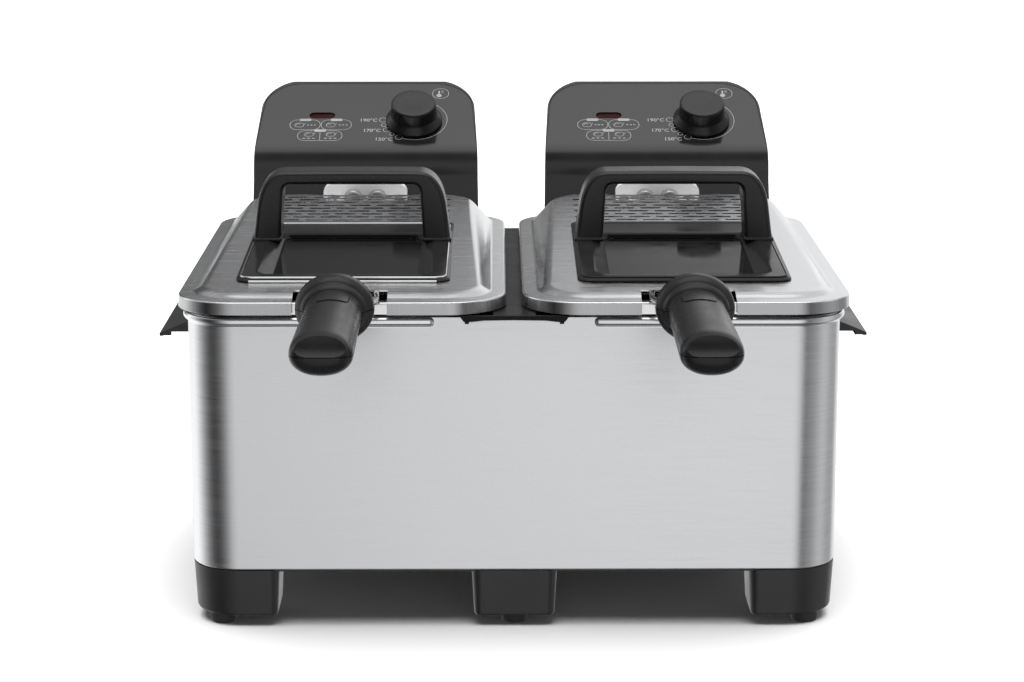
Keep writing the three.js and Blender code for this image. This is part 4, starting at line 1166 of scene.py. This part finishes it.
def make_element_plate():
    """The steel plate on the control unit's front, with two bosses and two screws."""
    low, high = extent("left_element_plate")
    half, corner = (high.x - low.x) / 2, 7
    top, front, rear = high.z, high.y - 2.4, high.y
    outline = [(-half, low.z), (half, low.z)]
    outline += arc(half - corner, top - corner, corner, 0, 90, 8)
    outline += arc(corner - half, top - corner, corner, 90, 180, 8)
    plate = source(prism(outline, front, rear + 6, "y"), PLATE_STEEL)
    bevelled(plate, 0.5, 2)
    put_pair("tube_plate", plate, "heater_unit", ["element_plate"], 35, True)
    turn = Matrix.Rotation(math.radians(90), 4, "X")
    boss = turned(bend([(4.2, 0), (7.6, 0), (6.6, 3), (6.0, 4.8), (4.2, 4.8)], [0, 0, 1.5, 0.8], 4), 32)
    screw = turned(bend([(3.4, 0), (3.4, 1.0), (1.5, 2.0), (0.5, 2.1)], [0, 0.5, 0.5], 4), 24)
    shapes = [
        moved(shape, Matrix.Translation((side * x, front + 0.1, z)) @ turn)
        for shape, x, z in ((boss, 9.5, 233.5), (screw, 26, 233))
        for side in (-1, 1)
    ]
    # The bosses and screws take the darker steel: painted shade.
    bosses = source(joined(shapes), SHADED_BOSS_STEEL)
    put_pair("tube_bosses", bosses, "heater_unit", smooth=40)


# --- Basket handle ---

grip_low, grip_high = extent("left_grip_lower")
GRIP_END = grip_low.y
SEAM_Z = (extent("left_grip_upper")[0].z + grip_high.z) / 2
GRIP_HALF, GRIP_HEIGHT = 18.0, 13.5
GUARD_HALF = (grip_high.x - grip_low.x) / 2
GUARD_HEIGHT = extent("left_grip_upper")[1].z - SEAM_Z
GUARD_REAR = grip_high.y
GUARD_FACE = GUARD_REAR - 13


def oval(half_width, half_height, y, power=2.0, sides=48):
    """An oval ring across Y, with its middle on the seam. A power over 2 makes it squarer."""
    points = []
    for side in range(sides):
        angle = 2 * math.pi * side / sides
        c, s = math.cos(angle), math.sin(angle)
        x = half_width * math.copysign(abs(c) ** (2 / power), c)
        height = half_height * math.copysign(abs(s) ** (2 / power), s)
        points.append(Vector((x, y, SEAM_Z + height)))
    return points


def grip_form(grow=0.0):
    """The handle before its shells are parted, from the guard forward to the rounded end."""
    reach = 16
    guard = [
        (oval(GUARD_HALF - 4, GUARD_HEIGHT - 4, GUARD_REAR), 0),
        (oval(GUARD_HALF, GUARD_HEIGHT, GUARD_REAR), 1.8),
        (oval(GUARD_HALF - 0.2, GUARD_HEIGHT - 0.2, GUARD_FACE + 5), 2.4),
        (oval(GUARD_HALF - 2.8, GUARD_HEIGHT - 2.6, GUARD_FACE + 1.4), 1.6),
        (oval(21.2, 17.6, GUARD_FACE), 0.8),
        (oval(20.4, 16.8, GUARD_FACE - 2.2), 1.2),
        (oval(18.9, 14.9, GUARD_FACE - 4.0), 0.9),
        (oval(18.4, 14.2, GUARD_FACE - 4.2), 0.4),
        (oval(GRIP_HALF + grow, GRIP_HEIGHT + grow, GUARD_FACE - 8, 2.15), 3),
        (oval(GRIP_HALF + 1 + grow, GRIP_HEIGHT + grow, GRIP_END + reach, 2.15), 2),
    ]
    rings = soften(guard)
    for step in range(1, 13):
        t = math.sin(math.radians(90 * step / 12))
        width = (GRIP_HALF + 1 + grow) * max(1 - t ** 4, 0.0008) ** 0.25
        height = (GRIP_HEIGHT + grow) * max(1 - t ** 2.4, 0.0008) ** (1 / 2.2)
        rings.append(oval(width, height, GRIP_END + reach - reach * t, 2.15))
    return skin(rings[::-1])


def make_grip():
    """The handle's two shells, the scoop in the upper one's end and the release button."""
    upper = source(grip_form(), GRIP_PLASTIC)
    lower = twin(upper)
    seam_gap = 0.22
    combine(upper, box_shape(-60, 60, -220, 20, 100, SEAM_Z + seam_gap))
    scoop_half, scoop_radius = 60, 20
    scoop_y, scoop_z = GRIP_END - 12.6, SEAM_Z + 15.4
    scoop = []
    for angle in (math.pi * step / 24 for step in range(1, 24)):
        turn = arc(scoop_y, scoop_z, scoop_radius * math.sin(angle), 0, 360, 48)[:-1]
        scoop.append([Vector((-scoop_half * math.cos(angle), y, z)) for y, z in turn])
    combine(upper, skin(scoop))
    low, high = extent("left_release_button")
    half, corner = (high.x - low.x) / 2, 4.5

    def button_outline(grow=0.0):
        front, side = low.y - grow + corner, half + grow
        outline = arc(corner - side, front, corner, 180, 270, 6)
        outline += arc(side - corner, front, corner, 270, 360, 6)
        return outline + arc(0, high.y - half, side, 0, 180, 20)

    # The hole under the button is deeper than the button's foot by more than its travel.
    combine(upper, prism(button_outline(0.3), SEAM_Z + 3.5, 300))
    bevelled(upper, 0.45, 3, 32)
    put_pair("grip_top", upper, "basket", ["grip_upper"], 35, True)
    combine(lower, box_shape(-60, 60, -220, 20, SEAM_Z - seam_gap, 300))
    bevelled(lower, 0.35, 2, 50)
    put_pair("grip_bottom", lower, "basket", ["grip_lower"], 35, True)
    button = source(grip_form(0.6), GRIP_PLASTIC)
    combine(button, prism(button_outline(), SEAM_Z + 7, 300), "INTERSECT")
    bevelled(button, 0.5, 3)
    put_pair("thumb_button", button, "release_button", ["release_button"], 35, True)


# --- Carried-over CAD nodes ---

CAD_FINISHES = {
    "guide_rail": PLATE_STEEL,
    "element_bracket": PLATE_STEEL,
    "thermostat": ELEMENT_METAL,
    "safety_cutout": ELEMENT_METAL,
    "cord_gland": RUBBER,
}


def finish_cad_nodes():
    for side in SIDES:
        for name, material in CAD_FINISHES.items():
            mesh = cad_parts[f"{side}_{name}"].data
            mesh.materials.clear()
            mesh.materials.append(material)


# --- Stage, light and camera ---


# What the studio shows round the object. Each pair is an azimuth in degrees, from straight in front
# and positive to the right, and a brightness. UNDER is below the horizon, LOW is the band above it
# and HIGH is well above it. Dark flags stand to both sides of the front, and behind on the left.
FRONT_HALF = (
    (-120, 1.25), (-104, 0.85), (-90, 0.42), (-77, 0.16), (-66, 0.05), (-55, 0.03), (-45, 0.08), (-35, 0.2),
    (-25, 0.42), (-16, 0.7), (-6, 0.84), (0, 0.88), (8, 0.95), (16, 0.9), (24, 0.6), (33, 0.15), (50, 0.3),
    (84, 0.6), (110, 0.4), (125, 0.35),
)
LOW = (
    (-180, 0.36), (-178, 0.22), (-173, 0.16), (-160, 0.05), (-140, 0.2), *FRONT_HALF,
    (140, 0.9), (160, 1.05), (173, 0.98), (175, 0.82), (177, 0.6), (179, 0.42), (180, 0.36),
)
UNDER = ((-180, 1.0), (-150, 1.25), *FRONT_HALF, (145, 1.0), (180, 1.0))
HIGH = ((-180, 0.32), (-90, 0.6), (-60, 0.25), (0, 0.1), (60, 0.25), (100, 0.9), (170, 0.7), (180, 0.34))
NADIR = (0.08, 0.08, 0.08, 1)
CEILING = (2, 2, 2, 1)


def make_world():
    """The studio: a bright ceiling, bands of flags and panels round it, and a pale ground."""
    world = bpy.data.worlds.new("studio")
    bpy.context.scene.world = world
    world.use_nodes = True
    tree = world.node_tree
    way = add_node(tree, "SeparateXYZ", add_node(tree, "TexCoord").outputs["Generated"]).outputs

    def calculate(operation, a, b):
        node = add_node(tree, "Math", a, b)
        node.operation = operation
        return node.outputs["Value"]

    azimuth = calculate("ARCTAN2", way["X"], calculate("MULTIPLY", way["Y"], -1))
    turn = calculate("ADD", calculate("DIVIDE", azimuth, 2 * math.pi), 0.5)

    def band(stops):
        """Light that changes with the azimuth."""
        brightest = max(level for angle, level in stops)
        ramp = add_node(tree, "ValToRGB", turn)
        ramp.color_ramp.interpolation = "EASE"
        elements = ramp.color_ramp.elements
        while len(elements) < len(stops):
            elements.new(0.5)
        for element, (angle, level) in zip(elements, stops):
            element.position = (angle + 180) / 360
            element.color = (*[level / brightest] * 3, 1)
        gain = add_node(tree, "VectorMath", ramp.outputs["Color"])
        gain.operation = "SCALE"
        gain.inputs["Scale"].default_value = brightest
        return gain.outputs["Vector"]

    def above(start, end):
        """0 below one elevation and 1 above another, both in degrees."""
        low, high = [math.sin(math.radians(angle)) for angle in (start, end)]
        node = add_node(tree, "MapRange", Value=way["Z"], From_Min=low, From_Max=high)
        node.interpolation_type = "SMOOTHSTEP"
        return node.outputs["Result"]

    sky = NADIR
    edges = ((-62, -38), (-7, 3), (21, 38), (56, 75))
    for edge, light in zip(edges, (band(UNDER), band(LOW), band(HIGH), CEILING)):
        mix = add_node(tree, "Mix", above(*edge))
        mix.data_type = "RGBA"
        # A Mix node's colours are its seventh and eighth inputs and its third output.
        fill(tree, mix.inputs[6], sky)
        fill(tree, mix.inputs[7], light)
        sky = mix.outputs[2]
    fill(tree, tree.nodes["Background"].inputs["Color"], sky)


def make_stage():
    """A white floor, lit from straight above. Reflections see the studio instead of it."""
    mesh = bpy.data.meshes.new("floor")
    reach = 40
    corners = [(x * reach, y * reach, 0) for x, y in ((-1, -1), (1, -1), (1, 1), (-1, 1))]
    mesh.from_pydata(corners, [], [(0, 1, 2, 3)])
    paper = Finish("floor paper", (0.6, 0.6, 0.6), 0.9)
    paper.vary_color(paper.noise(6, 2), 0.995, 1.005)
    mesh.materials.append(paper.material)
    floor = added("floor", mesh)
    floor.visible_glossy = False
    floor.visible_shadow = False
    floor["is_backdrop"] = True
    sun = bpy.data.lights.new("top light", "SUN")
    sun.energy = 6.5
    sun.angle = math.radians(70)
    light = added("top light", sun)
    light.visible_glossy = False
    light.rotation_euler = (math.radians(-4), 0, 0)


def make_camera():
    """The photo's view, found from its vanishing points."""
    data = bpy.data.cameras.new("camera")
    data.lens = 92.87
    data.sensor_width = 36
    camera = added("camera", data)
    camera.location = (-0.0113, FRONT_FACE - 1.687, 0.5616)
    camera.rotation_euler = (math.radians(90 - 12.23), 0, math.radians(-0.33))
    bpy.context.scene.camera = camera
    bpy.context.scene.view_settings.view_transform = "Standard"


make_camera()
make_stage()
make_world()
make_casing()
make_lip()
make_base()
make_feet()
make_carry_handles()
make_bridge()
make_bowl()
make_basket()
make_rods()
make_element()
make_lid()
make_window_frame()
make_arch()
make_glass_and_filter()
make_control_housing()
make_fascia()
make_prints()
make_knob()
make_element_plate()
make_grip()
finish_cad_nodes()


def numbers(value):
    """Nested vectors as plain lists of numbers."""
    if isinstance(value, (int, float)):
        return float(value)
    return [numbers(item) for item in value]


{"cad": numbers(cad_bounds), "visual": numbers(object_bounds())}
